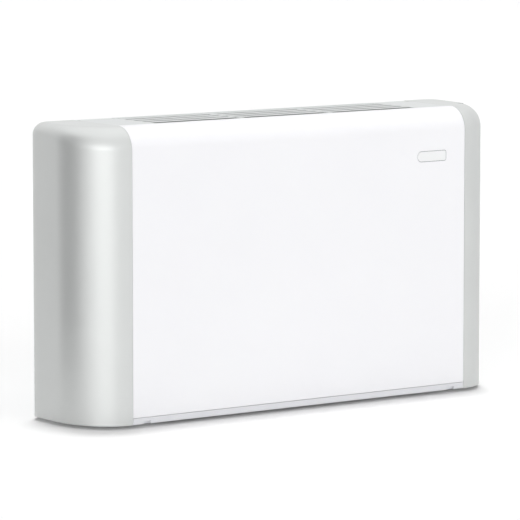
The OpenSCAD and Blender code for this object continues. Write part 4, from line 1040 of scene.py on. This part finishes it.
shape = bmesh.new()
bmesh.ops.create_grid(shape, x_segments=1, y_segments=1, size=FLOOR_SIZE)
floor = to_object("floor", shape)
floor.data.materials.append(floor_material)
floor.location.z = -FLOOR_GAP
print("floor", FLOOR_GAP, "m below the rims")

# %% World
WORLD_LIGHT, WORLD_SEEN = 0.3, 1.0

world = bpy.data.worlds.new("studio")
bpy.context.scene.world = world
tree = empty_tree(world)
level = add(tree, "ShaderNodeMapRange", {
    "Value": seen(tree), "To Min": WORLD_LIGHT, "To Max": WORLD_SEEN})
sky = add(tree, "ShaderNodeBackground", {"Color": WHITE, "Strength": level.outputs["Result"]})
add(tree, "ShaderNodeOutputWorld", {"Surface": sky.outputs["Background"]})
print("world lights at", WORLD_LIGHT, "and shows at", WORLD_SEEN)

# %% [markdown]
# ## Lamps and cards
# Two lamps stand before the front, a low wide one and a weaker fill. A wide lamp lights the top,
# and a narrower one beside it draws the shadow under the rims. A round lamp would show in the satin
# caps as a blob, so all but the widest are hidden from gloss. Two cards at the left are seen in
# gloss alone: a bright strip draws the upright highlight in the corner of the left cap, and a dark
# card the soft band beside it.

# %% Lamps
def sun(name, azimuth, elevation, strength, angle):
    """A soft distant lamp, from a direction in degrees round the object and up from the floor."""
    lamp = bpy.data.lights.new(name, "SUN")
    lamp.energy, lamp.angle = strength, math.radians(angle)
    made = bpy.data.objects.new(name, lamp)
    bpy.context.scene.collection.objects.link(made)
    made.rotation_euler = (math.radians(90 - elevation), 0, math.radians(azimuth))
    return made


key = sun("key", azimuth=-45, elevation=4, strength=1.58, angle=50)
fill = sun("fill", azimuth=18, elevation=10, strength=0.9, angle=40)
ceiling = sun("ceiling", azimuth=150, elevation=80, strength=0.53, angle=80)
spot = sun("spot", azimuth=146, elevation=83, strength=1.27, angle=8)
for lamp in (key, fill, spot):
    lamp.visible_glossy = False
print("lamps", [lamp.name for lamp in (key, fill, ceiling, spot)])

# %% Cards that only the gloss sees
GLOW_ENDS, GLOW_HIGH, GLOW_STRENGTH = ((-11.2, -4.0), (-4.4, -10.8)), 3.4, 3.4
FLAG_ENDS, FLAG_HIGH = ((-1.0, -0.02), (-1.0, 0.5)), 1.2


def card(name, ends, high, material):
    """An upright card on the floor between two plan points, seen in glossy reflections only."""
    start, end = ends
    shape = bmesh.new()
    corners = ((*start, 0), (*end, 0), (*end, high), (*start, high))
    shape.faces.new([shape.verts.new(corner) for corner in corners])
    made = to_object(name, shape)
    made.data.materials.append(material)
    made.visible_camera = made.visible_shadow = made.visible_diffuse = False


strip_glow = bpy.data.materials.new("strip_light")
tree = empty_tree(strip_glow)
glow = add(tree, "ShaderNodeEmission", {"Color": WHITE, "Strength": GLOW_STRENGTH})
add(tree, "ShaderNodeOutputMaterial", {"Surface": glow.outputs["Emission"]})
card("strip", GLOW_ENDS, GLOW_HIGH, strip_glow)
card("flag", FLAG_ENDS, FLAG_HIGH, FINISH["grey_foam"])
print("cards from", GLOW_ENDS[0], "to", GLOW_ENDS[1], "and from", FLAG_ENDS[0], "to", FLAG_ENDS[1])

# %% [markdown]
# ## Closing the scene
# The Standard view transform shows a colour about as it is written.

# %% Close the scene
bpy.context.scene.view_settings.view_transform = "Standard"
bpy.context.view_layer.update()
